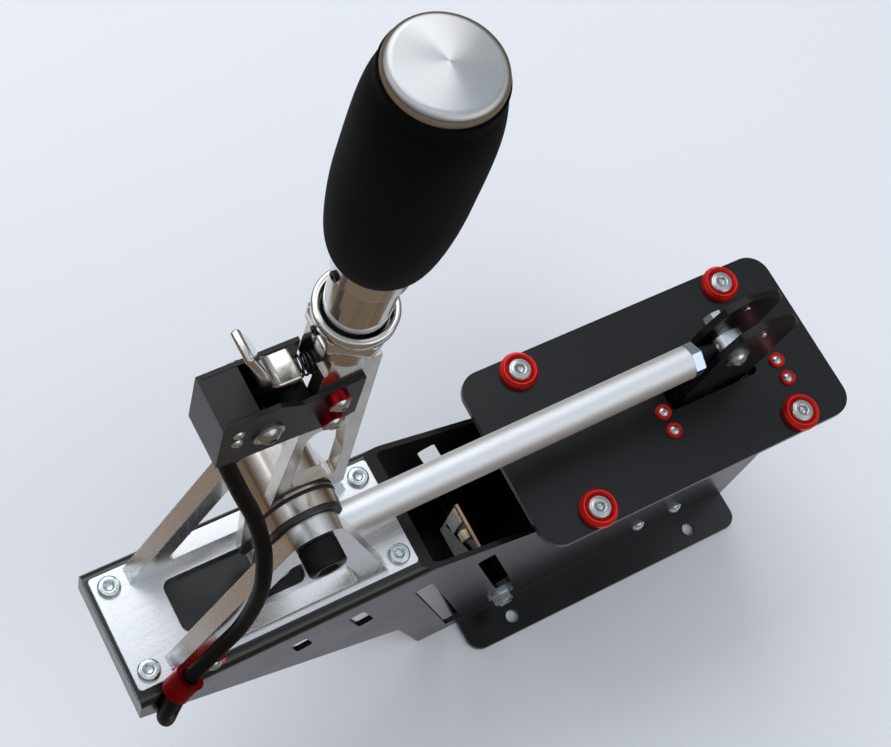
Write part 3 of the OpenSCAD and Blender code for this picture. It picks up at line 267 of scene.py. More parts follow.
def finish(name, colour, metallic, rough, shade=None, gloss=None, press=None, **sockets):
    """A material of one shader and up to three patterns of noise, each given as a grain and values.
    shade: the colour is darkened to a share of itself. gloss: roughness goes from low to high.
    press: the surface is pressed in by a depth in mm, on edges that look broken by some mm."""
    material = bpy.data.materials.new(name)
    material.use_nodes = True
    tree = material.node_tree
    tree.nodes.clear()
    colour = tuple(colour)
    shader = add(tree, "ShaderNodeBsdfPrincipled", {
        "Base Color": colour, "Metallic": metallic, "Roughness": rough, **sockets})
    add(tree, "ShaderNodeOutputMaterial", {"Surface": shader.outputs["BSDF"]})
    place = add(tree, "ShaderNodeTexCoord").outputs["Object"]
    for socket, pattern in (("Base Color", shade), ("Roughness", gloss), ("Normal", press)):
        if pattern is None:
            continue
        grain, *values = pattern
        mapped = add(tree, "ShaderNodeMapping", {
            "Vector": place, "Scale": tuple(s/(grain.size*MM) for s in grain.stretch)})
        noise = add(tree, "ShaderNodeTexNoise", {
            "Vector": mapped.outputs["Vector"], "Scale": 1.0, "Detail": grain.detail, "Roughness": 0.6})
        if socket == "Normal":
            depth, edge = values
            relief = {"Height": noise.outputs["Fac"], "Distance": depth*MM, "Strength": 1.0}
            if edge:
                bevel = add(tree, "ShaderNodeBevel", {"Radius": edge*MM}, samples=4)
                relief["Normal"] = bevel.outputs["Normal"]
            result = add(tree, "ShaderNodeBump", relief).outputs["Normal"]
        else:
            low, high = (0.0, 1.0) if socket == "Base Color" else values
            # noise stays between about 0.3 and 0.7
            level = add(tree, "ShaderNodeMapRange", {
                "Value": noise.outputs["Fac"], "From Min": 0.3, "From Max": 0.7,
                "To Min": low, "To Max": high})
            result = level.outputs["Result"]
            if socket == "Base Color":
                dark = tuple(c*values[0] for c in colour[:3]) + (1.0,)
                result = add(tree, "ShaderNodeMix", {0: result, 6: dark, 7: colour},
                             data_type="RGBA").outputs[2]
        tree.links.new(result, shader.inputs[socket])
    return material, tree, shader


def coats(colours):
    """Powder coats on steel sheet."""
    done = {}

    # Satin black with a faint orange peel, and the same coat with weaker reflections on the rear plate
    # and the ears, which paints shade on them
    for slot, name, shine in (("black_powder_coat", "powder_coat_satin_black", 0.6),
                              ("dull_powder_coat", "powder_coat_dull_black", 0.36)):
        done[slot] = finish(
            name, colours.powder_coat, 0.0, 0.3, shade=(Grain(40, detail=4), 0.7),
            gloss=(Grain(30, detail=3), 0.27, 0.32), press=(Grain(0.9), 0.008, 0.5),
            **{"Specular IOR Level": shine})[0]

    # Textured coat on the trigger box: coarse beads that break the light
    done["textured_coat"] = finish(
        "powder_coat_textured_black", linear("#151516"), 0.0, 0.42, shade=(Grain(0.6), 0.49),
        press=(Grain(0.6, detail=1.0), 0.05, 0.5), **{"Specular IOR Level": 0.4})[0]
    return done


def sheet_metals(colours):
    """Brushed, milled and spun aluminium."""
    done = {}

    # Brushed plate: fine bright lines along the plate, drawn coarser than real grit so that they show
    for slot, stretch, rough in (("brushed_aluminium", (0.008, 1, 1), 0.27),
                                 ("brushed_upright", (1, 1, 0.008), 0.24)):
        lines = Grain(0.25, stretch, 3)
        done[slot] = finish(
            slot + "_plate", colours.aluminium, 1.0, rough, shade=(lines, 0.84),
            gloss=(lines, rough - 0.05, rough + 0.08), press=(lines, 0.0025, 0.5))[0]

    # Milled lever: a grey made darker and warmer by a painted reflection of the brown room, with shallow
    # rows of a face cutter, 2.5 mm apart
    material, tree, shader = finish(
        "milled_aluminium", colours.lever, 1.0, 0.2, shade=(Grain(14, detail=3), 0.785),
        gloss=(Grain(0.4, (1, 1, 0.03), 3), 0.14, 0.27))
    row_pitch, waves = 2.5, 2*math.pi/20
    place = add(tree, "ShaderNodeTexCoord").outputs["Object"]
    rows = add(tree, "ShaderNodeTexWave", {
        "Vector": place, "Scale": waves/(row_pitch*MM), "Distortion": 1.5, "Detail": 2.0},
        bands_direction="Z")
    bevel = add(tree, "ShaderNodeBevel", {"Radius": 0.5*MM}, samples=4)
    relief = add(tree, "ShaderNodeBump", {
        "Height": rows.outputs["Fac"], "Distance": 0.0015*MM, "Strength": 1.0,
        "Normal": bevel.outputs["Normal"]})
    tree.links.new(relief.outputs["Normal"], shader.inputs["Normal"])
    done["milled_aluminium"] = material

    # Spun cap: fine rings round the axis, so the light fans out in cones
    dull, bright = linear("#bfc2c4"), linear("#d2d4d5")
    material, tree, shader = finish("spun_aluminium", bright, 1.0, 0.4, Anisotropic=0.9)
    tangent = add(tree, "ShaderNodeTangent", direction_type="UV_MAP", uv_map="UVMap")
    tree.links.new(tangent.outputs["Tangent"], shader.inputs["Tangent"])
    along = add(tree, "ShaderNodeSeparateXYZ", {"Vector": add(tree, "ShaderNodeTexCoord").outputs["UV"]})
    rings = add(tree, "ShaderNodeTexNoise", {
        "W": along.outputs["Y"], "Scale": 60.0, "Detail": 4.0, "Roughness": 0.7},
        noise_dimensions="1D").outputs["Fac"]
    level = add(tree, "ShaderNodeMapRange", {"Value": rings, "From Min": 0.3, "From Max": 0.7})
    tone = add(tree, "ShaderNodeMix", {0: level.outputs["Result"], 6: dull, 7: bright}, data_type="RGBA")
    tree.links.new(tone.outputs[2], shader.inputs["Base Color"])
    rough = add(tree, "ShaderNodeMapRange", {
        "Value": rings, "From Min": 0.3, "From Max": 0.7, "To Min": 0.36, "To Max": 0.46})
    tree.links.new(rough.outputs["Result"], shader.inputs["Roughness"])
    done["spun_aluminium"] = material
    return done


def hardware_metals(colours):
    """Turned and plated metals of rods, screws, bushes and springs, and dyed aluminium."""
    done = {}

    # Turned and drawn rounds: satin to bright, with faint tool lines
    lathe = (0.02, 0.02, 1)
    for slot, name, code, rough, lines in (
            ("plain_steel", "turned_steel", "#b4b6b8", 0.26, Grain(0.5, detail=3)),
            ("turned_aluminium", "turned_aluminium", "#dcdcdb", 0.17, Grain(0.2, lathe, 3)),
            ("polished_stem", "polished_turned_steel", "#cfcecb", 0.12, Grain(0.25, lathe, 3)),
            ("drawn_rod", "drawn_aluminium_satin", "#e0e3e6", 0.55, Grain(0.3, (0.01, 1, 1), 3)),
            ("blue_zinc", "blue_zinc_plate", "#bccbe2", 0.22, Grain(0.8, detail=3))):
        done[slot] = finish(name, linear(code), 1.0, rough, gloss=(lines, rough - 0.06, rough + 0.08),
                            press=(lines, 0.003, 0.35))[0]

    # Polished trigger: a soft mirror with a few wiping marks
    done["polished_steel"] = finish(
        "polished_steel", linear("#d2d1ce"), 1.0, 0.14, gloss=(Grain(5, (1, 1, 0.3), 4), 0.08, 0.22),
        press=(Grain(2.5), 0.006, 0.6))[0]

    # Zinc plate on screws and nuts: bluish grey with cloudy gloss
    cloud = Grain(2.2, detail=3)
    done["zinc_screws"] = finish(
        "zinc_plate_bluish", colours.zinc, 1.0, 0.28, shade=(cloud, 0.735), gloss=(cloud, 0.2, 0.36),
        press=(Grain(0.6), 0.004, 0.25))[0]

    # Tie rod: near black between the walls, bright zinc on the nuts outside them
    black, bright, wall_out = linear("#08080a"), linear("#c2cacd"), 35.9
    material, tree, shader = finish("tie_rod_zinc_and_black", bright, 1.0, 0.3,
                                    gloss=(Grain(1.2), 0.24, 0.4))
    place = add(tree, "ShaderNodeTexCoord").outputs["Object"]
    aside = add(tree, "ShaderNodeSeparateXYZ", {"Vector": place}).outputs["Y"]
    aside = add(tree, "ShaderNodeMath", {0: aside}, operation="ABSOLUTE").outputs[0]
    outside = add(tree, "ShaderNodeMath", {0: aside, 1: wall_out*MM}, operation="GREATER_THAN").outputs[0]
    tone = add(tree, "ShaderNodeMix", {0: outside, 6: black, 7: bright}, data_type="RGBA")
    tree.links.new(tone.outputs[2], shader.inputs["Base Color"])
    done["tie_rod"] = material

    # Black oxide on steel: near black and a little oily
    done["black_oxide"] = finish(
        "black_oxide_steel", linear("#1c1c1e"), 0.75, 0.36, gloss=(Grain(1.6, detail=3), 0.28, 0.46),
        press=(Grain(0.5), 0.006, 0.3))[0]

    # Drawn spring wire with a dark oil temper
    done["spring_steel"] = finish(
        "spring_wire_dark", linear("#3a3b3d"), 0.9, 0.3, gloss=(Grain(0.8, detail=3), 0.22, 0.4))[0]

    # Sintered bronze, pored and oily
    done["bronze"] = finish("sintered_bronze", linear("#c79a5a"), 1.0, 0.38, shade=(Grain(0.5), 0.46))[0]

    # Red anodised aluminium: bright on the cup washers, deeper on the small washers and the clamp
    done["red_anodised"] = finish(
        "red_anodised_aluminium", colours.red, 0.6, 0.34, shade=(Grain(6, detail=3), 0.8),
        gloss=(Grain(0.6), 0.28, 0.4))[0]
    done["red_deep"] = finish(
        "red_anodised_deep", colours.deep_red, 0.9, 0.3, shade=(Grain(6, detail=3), 0.67),
        gloss=(Grain(0.6), 0.24, 0.36))[0]
    return done


def plastics_and_fabrics(colours):
    """Mouldings, the sensor board, suede and the cable's sleeve."""
    done = {}

    # Moulded black plastic with a fine spark-eroded grain, and dull moulded rubber
    done["black_plastic"] = finish(
        "moulded_plastic_black", linear("#1d1e20"), 0.0, 0.5, gloss=(Grain(5), 0.44, 0.56),
        press=(Grain(0.4), 0.03, 0.5))[0]
    done["black_rubber"] = finish(
        "moulded_rubber", linear("#141415"), 0.0, 0.7, press=(Grain(0.5), 0.02, 0.4))[0]

    # Tan and pale moulded plug bodies, slightly mottled
    done["tan_plastic"] = finish(
        "moulded_plastic_tan", linear("#d3c09b"), 0.0, 0.45, shade=(Grain(3), 0.73))[0]
    done["pale_plastic"] = finish(
        "moulded_plastic_pale", linear("#a29f99"), 0.0, 0.45, shade=(Grain(3), 0.73))[0]

    # Glass-fibre laminate: brown cut edges, and painted shade on the two wide faces, which look along X:
    # near black there, standing in for their shadow
    material, tree, shader = finish(
        "laminate_board", linear("#b78f72"), 0.0, 0.5, shade=(Grain(0.9, (1, 0.1, 1)), 0.55))
    cut_edge = shader.inputs["Base Color"].links[0].from_socket
    normal = add(tree, "ShaderNodeNewGeometry").outputs["True Normal"]
    facing = add(tree, "ShaderNodeSeparateXYZ", {"Vector": normal}).outputs["X"]
    wide = add(tree, "ShaderNodeMath", {0: facing}, operation="ABSOLUTE").outputs[0]
    # the wide faces get near black: painted shade
    tone = add(tree, "ShaderNodeMix", {0: wide, 6: cut_edge, 7: linear("#0d0e10")}, data_type="RGBA")
    tree.links.new(tone.outputs[2], shader.inputs["Base Color"])
    done["circuit_board"] = material

    # Microfibre suede: almost black, short nap that catches light at the rim and in stroked patches
    nap, stroked = Grain(0.45, detail=3), Grain(22, (1, 1, 0.5), 3)
    material, tree, shader = finish(
        "suede_black", colours.suede, 0.0, 0.95, press=(nap, 0.09, 0), **{
            "Specular IOR Level": 0.1, "Sheen Weight": 0.12, "Sheen Roughness": 0.4,
            "Sheen Tint": linear("#8f9298")})
    place = add(tree, "ShaderNodeTexCoord").outputs["Object"]
    both = 1.0
    for grain in (nap, stroked):
        mapped = add(tree, "ShaderNodeMapping", {
            "Vector": place, "Scale": tuple(s/(grain.size*MM) for s in grain.stretch)})
        noise = add(tree, "ShaderNodeTexNoise", {
            "Vector": mapped.outputs["Vector"], "Scale": 1.0, "Detail": grain.detail, "Roughness": 0.6})
        both = add(tree, "ShaderNodeMath", {0: noise.outputs["Fac"], 1: both},
                   operation="MULTIPLY").outputs[0]
    level = add(tree, "ShaderNodeMapRange", {
        "Value": both, "From Min": 0.3, "From Max": 0.7, "To Max": 1.6})
    tone = add(tree, "ShaderNodeMix", {
        0: level.outputs["Result"], 6: linear("#050506"), 7: tuple(colours.suede)}, data_type="RGBA")
    tree.links.new(tone.outputs[2], shader.inputs["Base Color"])
    done["suede_grip"] = material

    # Braided polyester sleeve: black strands, with painted shade in the gaps between them, so they are
    # darker there than on their crowns
    material, tree, shader = finish("braided_polyester", colours.braid, 0.0, 0.5,
                                    **{"Specular IOR Level": 0.15})
    # the strands' height from the lay attribute: low in the gaps, where the colour is darkened as painted
    # shade
    crown = add(tree, "ShaderNodeAttribute", attribute_name="lay").outputs["Fac"]
    tone = add(tree, "ShaderNodeMix", {0: crown, 6: linear("#020203"), 7: tuple(colours.braid)},
               data_type="RGBA")
    tree.links.new(tone.outputs[2], shader.inputs["Base Color"])
    done["braided_sleeve"] = material
    return done


def dress(material, *names):
    """Gives the named CAD pieces this finish."""
    for name in names:
        NODES[name].data.materials.clear()
        NODES[name].data.materials.append(material)


def settle(piece, body, material, slot, *replaced):
    """A new piece gets its finish, moves with its body and stands for the CAD pieces it replaces."""
    piece.data.materials.append(material)
    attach(piece, body)
    if replaced:
        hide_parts(*replaced)


# Settings

class ShifterSizes(bpy.types.PropertyGroup):
    """Sizes and counts of the fine pieces."""
    cable_d: bpy.props.FloatProperty(
        name="Cable", description="Diameter of the trigger cable", default=7.4*MM, min=4*MM, max=9*MM,
        subtype="DISTANCE", unit="LENGTH")
    thread_pitch: bpy.props.FloatProperty(
        name="Thread pitch", description="Pitch of the rod ends' thread", default=1.25*MM, min=0.5*MM,
        max=2*MM, subtype="DISTANCE", unit="LENGTH")
    braid_strands: bpy.props.IntProperty(
        name="Strands", description="Strands each way round the braid", default=12, min=6, max=16)
    trigger_turns: bpy.props.FloatProperty(
        name="Trigger spring turns", description="Turns of the trigger spring", default=5.0, min=3, max=6)
    centring_turns: bpy.props.FloatProperty(
        name="Centring spring turns", description="Turns of each centring spring", default=7.5,
        min=5, max=9)
    knurls: bpy.props.IntProperty(
        name="Knurls", description="Ridges round the pivot screw's head", default=60, min=30, max=90)


class ShifterColours(bpy.types.PropertyGroup):
    """Main colours of the finishes."""
    powder_coat: bpy.props.FloatVectorProperty(
        name="Powder coat", description="Chassis, plate and ears", default=linear("#0e0e10"),
        subtype="COLOR", size=4, min=0, max=1)
    aluminium: bpy.props.FloatVectorProperty(
        name="Aluminium", description="Tower", default=linear("#eeeff0"),
        subtype="COLOR", size=4, min=0, max=1)
    # the lever's grey is darker and warmer than bare aluminium: a painted reflection of the brown room
    lever: bpy.props.FloatVectorProperty(
        name="Lever", description="Milled lever", default=linear("#d2ccc4"),
        subtype="COLOR", size=4, min=0, max=1)
    zinc: bpy.props.FloatVectorProperty(
        name="Zinc", description="Screws and nuts", default=linear("#dbe4e7"),
        subtype="COLOR", size=4, min=0, max=1)
    suede: bpy.props.FloatVectorProperty(
        name="Suede", description="Knob's grip", default=linear("#0d0d0f"),
        subtype="COLOR", size=4, min=0, max=1)
    red: bpy.props.FloatVectorProperty(
        name="Red", description="Cup washers", default=linear("#ee2a22"),
        subtype="COLOR", size=4, min=0, max=1)
    deep_red: bpy.props.FloatVectorProperty(
        name="Deep red", description="Small washers and cable clamp", default=linear("#a61119"),
        subtype="COLOR", size=4, min=0, max=1)
    braid: bpy.props.FloatVectorProperty(
        name="Braid", description="Cable sleeve", default=linear("#0d0d0e"),
        subtype="COLOR", size=4, min=0, max=1)
    floor: bpy.props.FloatVectorProperty(
        name="Floor", description="Floor of the stage", default=linear("#eef1f6"),
        subtype="COLOR", size=4, min=0, max=1)


# Pieces

class SHIFTER_OT_finishes(bpy.types.Operator):
    """Makes the finishes and gives them to the pieces that keep their CAD shape"""
    bl_idname = "shifter.finishes"
    bl_label = "Finishes"

    def execute(self, context):
        for make in (coats, sheet_metals, hardware_metals, plastics_and_fabrics):
            FINISHES.update(make(context.scene.shifter_colours))
        for part in frame["record"]["subparts"]:
            dress(FINISHES[part["material_slot"]], part["node"])
        dress(FINISHES["textured_coat"], "trigger_box", "trigger_cover")
        # the coat's duller copy: painted shade on the rear plate and the ears
        dress(FINISHES["dull_powder_coat"], "rear_plate", "rocker_ear_left", "rocker_ear_right")
        dress(FINISHES["black_oxide"], "board_bracket", "rocker_hub", "shaft_spacers")
        dress(FINISHES["milled_aluminium"], "lever_arm")
        dress(FINISHES["brushed_upright"], "tower_side_left", "tower_side_right")
        dress(FINISHES["drawn_rod"], "rod_tube")
        dress(FINISHES["zinc_screws"], "rod_eye_rear")
        dress(FINISHES["blue_zinc"], "rod_jam_nuts")
        dress(FINISHES["tie_rod"], "tie_rod")
        dress(FINISHES["plain_steel"], "sensor_screws", "trigger_axle")
        dress(FINISHES["red_deep"], "trigger_washers", "cable_clamp")
        return {"FINISHED"}


class SHIFTER_OT_cable(bpy.types.Operator):
    """Braided cable: strands wind both ways round the tube and pass over and under each other"""
    bl_idname = "shifter.cable"
    bl_label = "Trigger cable"

    def execute(self, context):
        sizes = context.scene.shifter_sizes
        path, s = evenly(curve_through(CABLE_ROUTE, 24), 1000)
        sides, r0, strand_high = 66, sizes.cable_d/MM/2, 0.22
        wide = 2*np.pi*r0/sizes.braid_strands
        place = sizes.braid_strands*angles(sides)/(2*np.pi)
        one, two = place + s[:, None]/wide, place - s[:, None]/wide
        over = (np.floor(one) + np.floor(two)) % 2
        lay = np.where(over > 0.5, np.sin(np.pi*(one % 1)), np.sin(np.pi*(two % 1)))**0.7
        rings = tube(path, r0 - strand_high + strand_high*lay, sides, np.array([0.6, -0.8, 0.0]))
        # lay shapes the strands and also drives the painted shade in the sleeve's gaps
        piece = skin("cable_braided", rings, first=True, last=True, lay=lay, run=s)
        piece.data.materials.append(FINISHES["braided_sleeve"])
        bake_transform(piece)
        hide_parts("trigger_cable")
        return {"FINISHED"}


class SHIFTER_OT_grip(bpy.types.Operator):
    """Suede grip of the knob: a turned barrel that swells quickly from its foot, with a slightly
    uneven wrap"""
    bl_idname = "shifter.grip"
    bl_label = "Knob grip"

    def execute(self, context):
        length, foot, widest, top, flare = 93.5, 14.3, 22.1, 19.05, 0.47
        core, cap_seat, foot_lip, top_lip = 6.5, 18.35, 1.2, 0.3
        t = np.linspace(0, 1, 140)**1.25
        r = foot + (widest - foot)*np.sin(np.minimum(t/flare, 1)*np.pi/2)**0.44
        r = r - (widest - top)*(np.maximum(t - flare, 0)/(1 - flare))**5
        z = length*t
        # the wrap turns in at both ends: a rounded lip against the ring and round the cap
        lip = np.linspace(0, np.pi/2, 8)[:-1]
        r = np.r_[core, 10.0, foot - foot_lip + foot_lip*np.sin(lip), r[1:],
                  top - top_lip + top_lip*np.cos(lip[1:]), cap_seat + 0.05, cap_seat, core]
        z = np.r_[0.0, 0.0, foot_lip - foot_lip*np.cos(lip), np.maximum(z[1:], foot_lip),
                  length + 3.6 + 0.4*np.sin(lip[1:]), length + 3.9, length + 0.02, length + 0.02]
        steps = 144
        a, along = angles(steps), z[:, None]
        uneven = 0.08*np.sin(3*a + along/17) + 0.06*np.sin(5*a - along/9 + 1)
        fade = np.clip(np.minimum(along, length - along)/12, 0, 1)
        rings = turned(r, z, steps, uneven*fade)
        piece = skin("grip_suede", on_lever(rings, GRIP_UP), loop=True)
        settle(piece, "lever", FINISHES["suede_grip"], "suede_grip", "knob_grip")
        return {"FINISHED"}


class SHIFTER_OT_stem(bpy.types.Operator):
    """Stem in the collar's recess and the ring under the grip: turned rounds with broken edges"""
    bl_idname = "shifter.stem"
    bl_label = "Stem and ring"

    def execute(self, context):
        # stations: radius, and height above the lever's pivot
        low, top = RECESS_UP, GRIP_UP - 0.05
        stem = np.array([(10.0, 163.6), (10.1, 163.7), (10.1, low), (11.9, low), (12.2, low + 0.3),
                         (12.2, low + 0.55), (12.2, RING_UP - 0.3), (12.15, RING_UP - 0.05),
                         (6.6, RING_UP - 0.05)])
        ring = np.array([(6.6, RING_UP), (13.3, RING_UP), (13.8, RING_UP + 0.2), (14.0, RING_UP + 0.6),
                         (14.0, RING_UP + 0.8), (14.0, top - 0.55), (14.0, top - 0.35),
                         (13.7, top), (6.6, top)])
        steps = 144
        piece = skin("stem_turned", on_lever(turned(*stem.T, steps), 0.0), first=True, last=True)
        settle(piece, "lever", FINISHES["polished_stem"], "plain_steel", "knob_stem")
        piece = skin("ring_turned", on_lever(turned(*ring.T, steps), 0.0), loop=True)
        settle(piece, "lever", FINISHES["turned_aluminium"], "brushed_aluminium", "knob_ring")
        return {"FINISHED"}


class SHIFTER_OT_cap(bpy.types.Operator):
    """Spun cap of the knob: a nearly flat cone with a rounded edge and a short wall"""
    bl_idname = "shifter.cap"
    bl_label = "Knob cap"

    def execute(self, context):
        outer, edge, high, crown_high = 18.25, 3.5, 9.0, 0.9
        a = np.linspace(0, np.pi/2, 14)
        crown = np.linspace(1, 0.01, 40)[1:]
        flat = outer - edge
        r = np.r_[6.0, outer - 0.6, outer, outer, flat + edge*np.cos(a), flat*crown]
        z = np.r_[0.05, 0.05, 0.6, 3.0, high - edge + edge*np.sin(a), high + crown_high*(1 - crown**1.6)]
        rings = on_lever(turned(r, z, 160), CAP_UP)
        piece = skin("cap_spun", rings, first=True, last=True, run=r/outer)
        settle(piece, "lever", FINISHES["spun_aluminium"], "brushed_aluminium", "knob_cap")
        return {"FINISHED"}


class SHIFTER_OT_pivot_screw(bpy.types.Operator):
    """Pivot screw: a knurled socket head on a plain shank"""
    bl_idname = "shifter.pivot_screw"
    bl_label = "Pivot screw"

    def execute(self, context):
        knurls = context.scene.shifter_sizes.knurls
        steps = knurls*6
        near_face, key_corner = -28.5, 5.04
        socket = key_corner*math.cos(math.pi/6)*hexagon(steps)
        ridge = 0.22*(1 - np.abs(((angles(steps)*knurls/(2*np.pi)) % 1)*2 - 1)) - 0.2
        # stations from the shank's far end to the head, over its rim and down into the socket
        r = np.array([5.2, 6.0, 6.0, 8.3, 8.8, 9.0, 9.0, 9.0, 8.7, 8.3, 6.2, 0, 0, 0])
        z = np.array([-69.0, -68.0, 0.02, 0.02, 0.25, 0.6, 6.0, 10.6, 11.4, 11.9, 12.0, 11.6, 6.0, 5.4])
        extra = np.zeros((len(r), steps))
        extra[5:8] = ridge
        extra[-3:] = np.array([1.0, 1.0, 0.55])[:, None]*socket
        rings = across(turned(r, z, steps, extra), PIVOT + [0.0, near_face, 0.0])
        piece = skin("pivot_screw_knurled", rings, first=True, last=True)
        settle(piece, "chassis", FINISHES["black_oxide"], "black_oxide", "pivot_bolt")
        return {"FINISHED"}


class SHIFTER_OT_trigger(bpy.types.Operator):
    """Trigger: a bent blade with a round tip that runs in a fillet into its spring block, on a
    round boss"""
    bl_idname = "shifter.trigger"
    bl_label = "Trigger"

    def execute(self, context):
        hub = np.array([-265.7, 411.5])
        block_top, block_low, block_end = 437.0, 425.0, -251.7
        fillet, corner_r, boss_r, boss_y = 5.0, 1.4, 6.5, 1.5
        # the blade follows a curve from the hub to the tip, and thins on its way
        spine = curve_through(hub + np.array([
            (0.6, 5.0), (1.9, 13.0), (1.6, 20.0), (-1.0, 30.5), (-3.8, 40.5), (-7.1, 49.7),
            (-10.4, 58.0)]), 6)
        run = directions(spine)
        left = np.stack([-run[:, 1], run[:, 0]], -1)
        half = np.interp(np.linspace(0, 1, len(spine)), [0, 0.2, 0.4, 1], [5.2, 4.4, 2.4, 1.75])[:, None]
        near, far = spine + half*left, spine - half*left
        tip_way = math.degrees(math.atan2(*run[-1][::-1]))
        tip = arc(spine[-1], half[-1, 0], tip_way + 80, tip_way - 80, 9)
        back = far[far[:, 1] > block_top + fillet + 1][::-1]
        corner = arc((back[-1, 0] + fillet + 0.6, block_top + fillet), fillet, 180, 270, 8)
        top = arc((block_end - corner_r, block_top - corner_r), corner_r, 90, 0, 5)
        low = arc((block_end - corner_r, block_low + corner_r), corner_r, 0, -90, 5)
        under = np.array([(hub[0] + 7.2, block_low), (hub[0] + 6.1, block_low - corner_r)])
        cup = arc(hub, boss_r - 0.05, 60, 135, 12)
        outline = np.vstack([near, tip, back, corner, top, low, under, cup])[::-1]
        piece = skin("trigger_blade", slab(outline, -4.0, 9.0, 0.9), first=True, last=True, flat=True)
        settle(piece, "trigger", FINISHES["polished_steel"], "polished_steel", "trigger")
        r = np.array([3.05, 3.05, 3.4, boss_r - 0.4, boss_r, boss_r, boss_r - 0.4, 3.4, 3.05])
        z = np.array([0.0, -9.0, -9.2, -9.2, -8.8, 8.8, 9.2, 9.2, 9.0])
        boss = across(turned(r, z, 64), (hub[0], boss_y, hub[1]))
        piece = skin("trigger_boss", boss, loop=True)
        settle(piece, "trigger", FINISHES["polished_steel"], "polished_steel")
        return {"FINISHED"}


class SHIFTER_OT_stop(bpy.types.Operator):
    """Rubber stop in the trigger box, under the trigger's block: a block with rounded edges"""
    bl_idname = "shifter.stop"
    bl_label = "Trigger stop"

    def execute(self, context):
        piece = block("trigger_stop", (-258.3, -247.5), (-7.95, 10.9), (398.05, 421.0), 1.0)
        settle(piece, "lever", FINISHES["black_rubber"], "black_rubber")
        return {"FINISHED"}


class SHIFTER_OT_hub_ring(bpy.types.Operator):
    """Dark ring round the lever's hub beside the lever plate: a half-round band"""
    bl_idname = "shifter.hub_ring"
    bl_label = "Hub ring"

    def execute(self, context):
        inner, flank, proud, half_wide, plate_face = 17.3, 17.55, 0.55, 0.9, -8.6
        a = np.linspace(0, np.pi, 9)
        r = np.r_[inner, flank + proud*np.sin(a), inner]
        z = np.r_[0.0, half_wide - half_wide*np.cos(a), 2*half_wide]
        rings = across(turned(r, z, 120), PIVOT + [0.0, plate_face, 0.0])
        piece = skin("hub_ring", rings, loop=True)
        settle(piece, "lever", FINISHES["black_rubber"], "black_rubber")
        return {"FINISHED"}


class SHIFTER_OT_rod_threads(bpy.types.Operator):
    """Rolled thread on the rod ends' shanks: radius rises and falls once a pitch along a helix"""
    bl_idname = "shifter.rod_threads"
    bl_label = "Rod threads"

    def execute(self, context):
        pitch = context.scene.shifter_sizes.thread_pitch/MM
        front, rear = np.array([-238.0, -1.2, 209.0]), np.array([35.0, -1.2, 218.48])
        first, last, core, root, crest, run_out = 9.2, 21.0, 4.02, 0.01, 0.42, 0.8
        along = (rear - front)/np.linalg.norm(rear - front)
        up = np.array([-along[2], 0.0, along[0]])
        a = angles(48)
        s = np.linspace(first, last, 160)
        phase = s[:, None]/pitch - a/(2*np.pi)
        ends = np.clip(np.minimum(s - first, last - s)/run_out, 0, 1)[:, None]
        r = core + (root + crest*(1 - np.abs((phase % 1)*2 - 1)))*ends
        for name, base, way in (("thread_front", front, 1), ("thread_rear", rear, -1)):
            round_it = np.cos(a)[:, None]*np.array([0, 1.0, 0]) + way*np.sin(a)[:, None]*up
            rings = (base + way*s[:, None]*along)[:, None] + r[..., None]*round_it
            piece = skin(name, rings, first=True, last=True)
            settle(piece, "rod", FINISHES["black_oxide"], "black_oxide")
        return {"FINISHED"}


class SHIFTER_OT_springs(bpy.types.Operator):
    """Round wire springs: one behind the trigger, two beside the rocker's arm"""
    bl_idname = "shifter.springs"
    bl_label = "Springs"

    def execute(self, context):
        sizes = context.scene.shifter_sizes
        centring = (16.0, 2.0, sizes.centring_turns, 37.0)
        # name, CAD piece, bodies at the start and the end, start; outer and wire diameter, turns, length
        rows = (
            ("spring_trigger", "trigger_spring", "trigger", "lever", (-251.7, 2.5, 431.0),
             (9.0, 0.95, sizes.trigger_turns, 6.7)),
            ("spring_front", "centring_spring_front", "chassis", "rocker", (-7.0, 0.0, 89.0), centring),
            ("spring_rear", "centring_spring_rear", "rocker", "chassis", (40.0, 0.0, 89.0), centring))
        for name, node, first, last, start, (outer, wire, turns, length) in rows:
            start = np.array(start)
            piece = skin(name, coil(start, outer, wire, turns, length), first=True, last=True)
            piece.data.materials.append(FINISHES["spring_steel"])
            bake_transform(piece)
            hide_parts(node)
        return {"FINISHED"}


class SHIFTER_OT_collar(bpy.types.Operator):
    """Clamp collar: a hexagon with broken corners below, a round lip above and a deep recess round
    the stem"""
    bl_idname = "shifter.collar"
    bl_label = "Clamp collar"

    def execute(self, context):
        # stations: radius, height, and 1 where the section is the hexagon (its radius is to the flats)
        rows = np.array([
            (5.1, 0.0, 0), (13.2, 0.0, 1), (13.9, 0.2, 1), (14.2, 0.7, 1), (14.2, 8.1, 1), (14.0, 8.4, 1),
            (14.6, 8.5, 0), (15.4, 8.6, 0), (15.7, 9.0, 0), (15.7, 12.6, 0), (15.5, 13.1, 0),
            (15.1, 13.4, 0), (14.7, 13.5, 0), (13.9, 13.45, 0), (13.4, 13.2, 0), (13.05, 12.6, 0),
            (13.0, 6.2, 0), (12.8, 6.0, 0), (10.15, 6.0, 0), (10.15, 1.55, 0), (5.1, 1.55, 0)])
        steps, corner_r = 144, 16.0
        to_flat = rows[:, :1]
        extra = rows[:, 2:]*(np.minimum(to_flat*hexagon(steps), corner_r) - to_flat)
        rings = turned(rows[:, 0], rows[:, 1], steps, extra)
        piece = skin("collar_turned", on_lever(rings, COLLAR_UP), loop=True)
        settle(piece, "lever", FINISHES["turned_aluminium"], "brushed_aluminium", "clamp_collar")
        return {"FINISHED"}


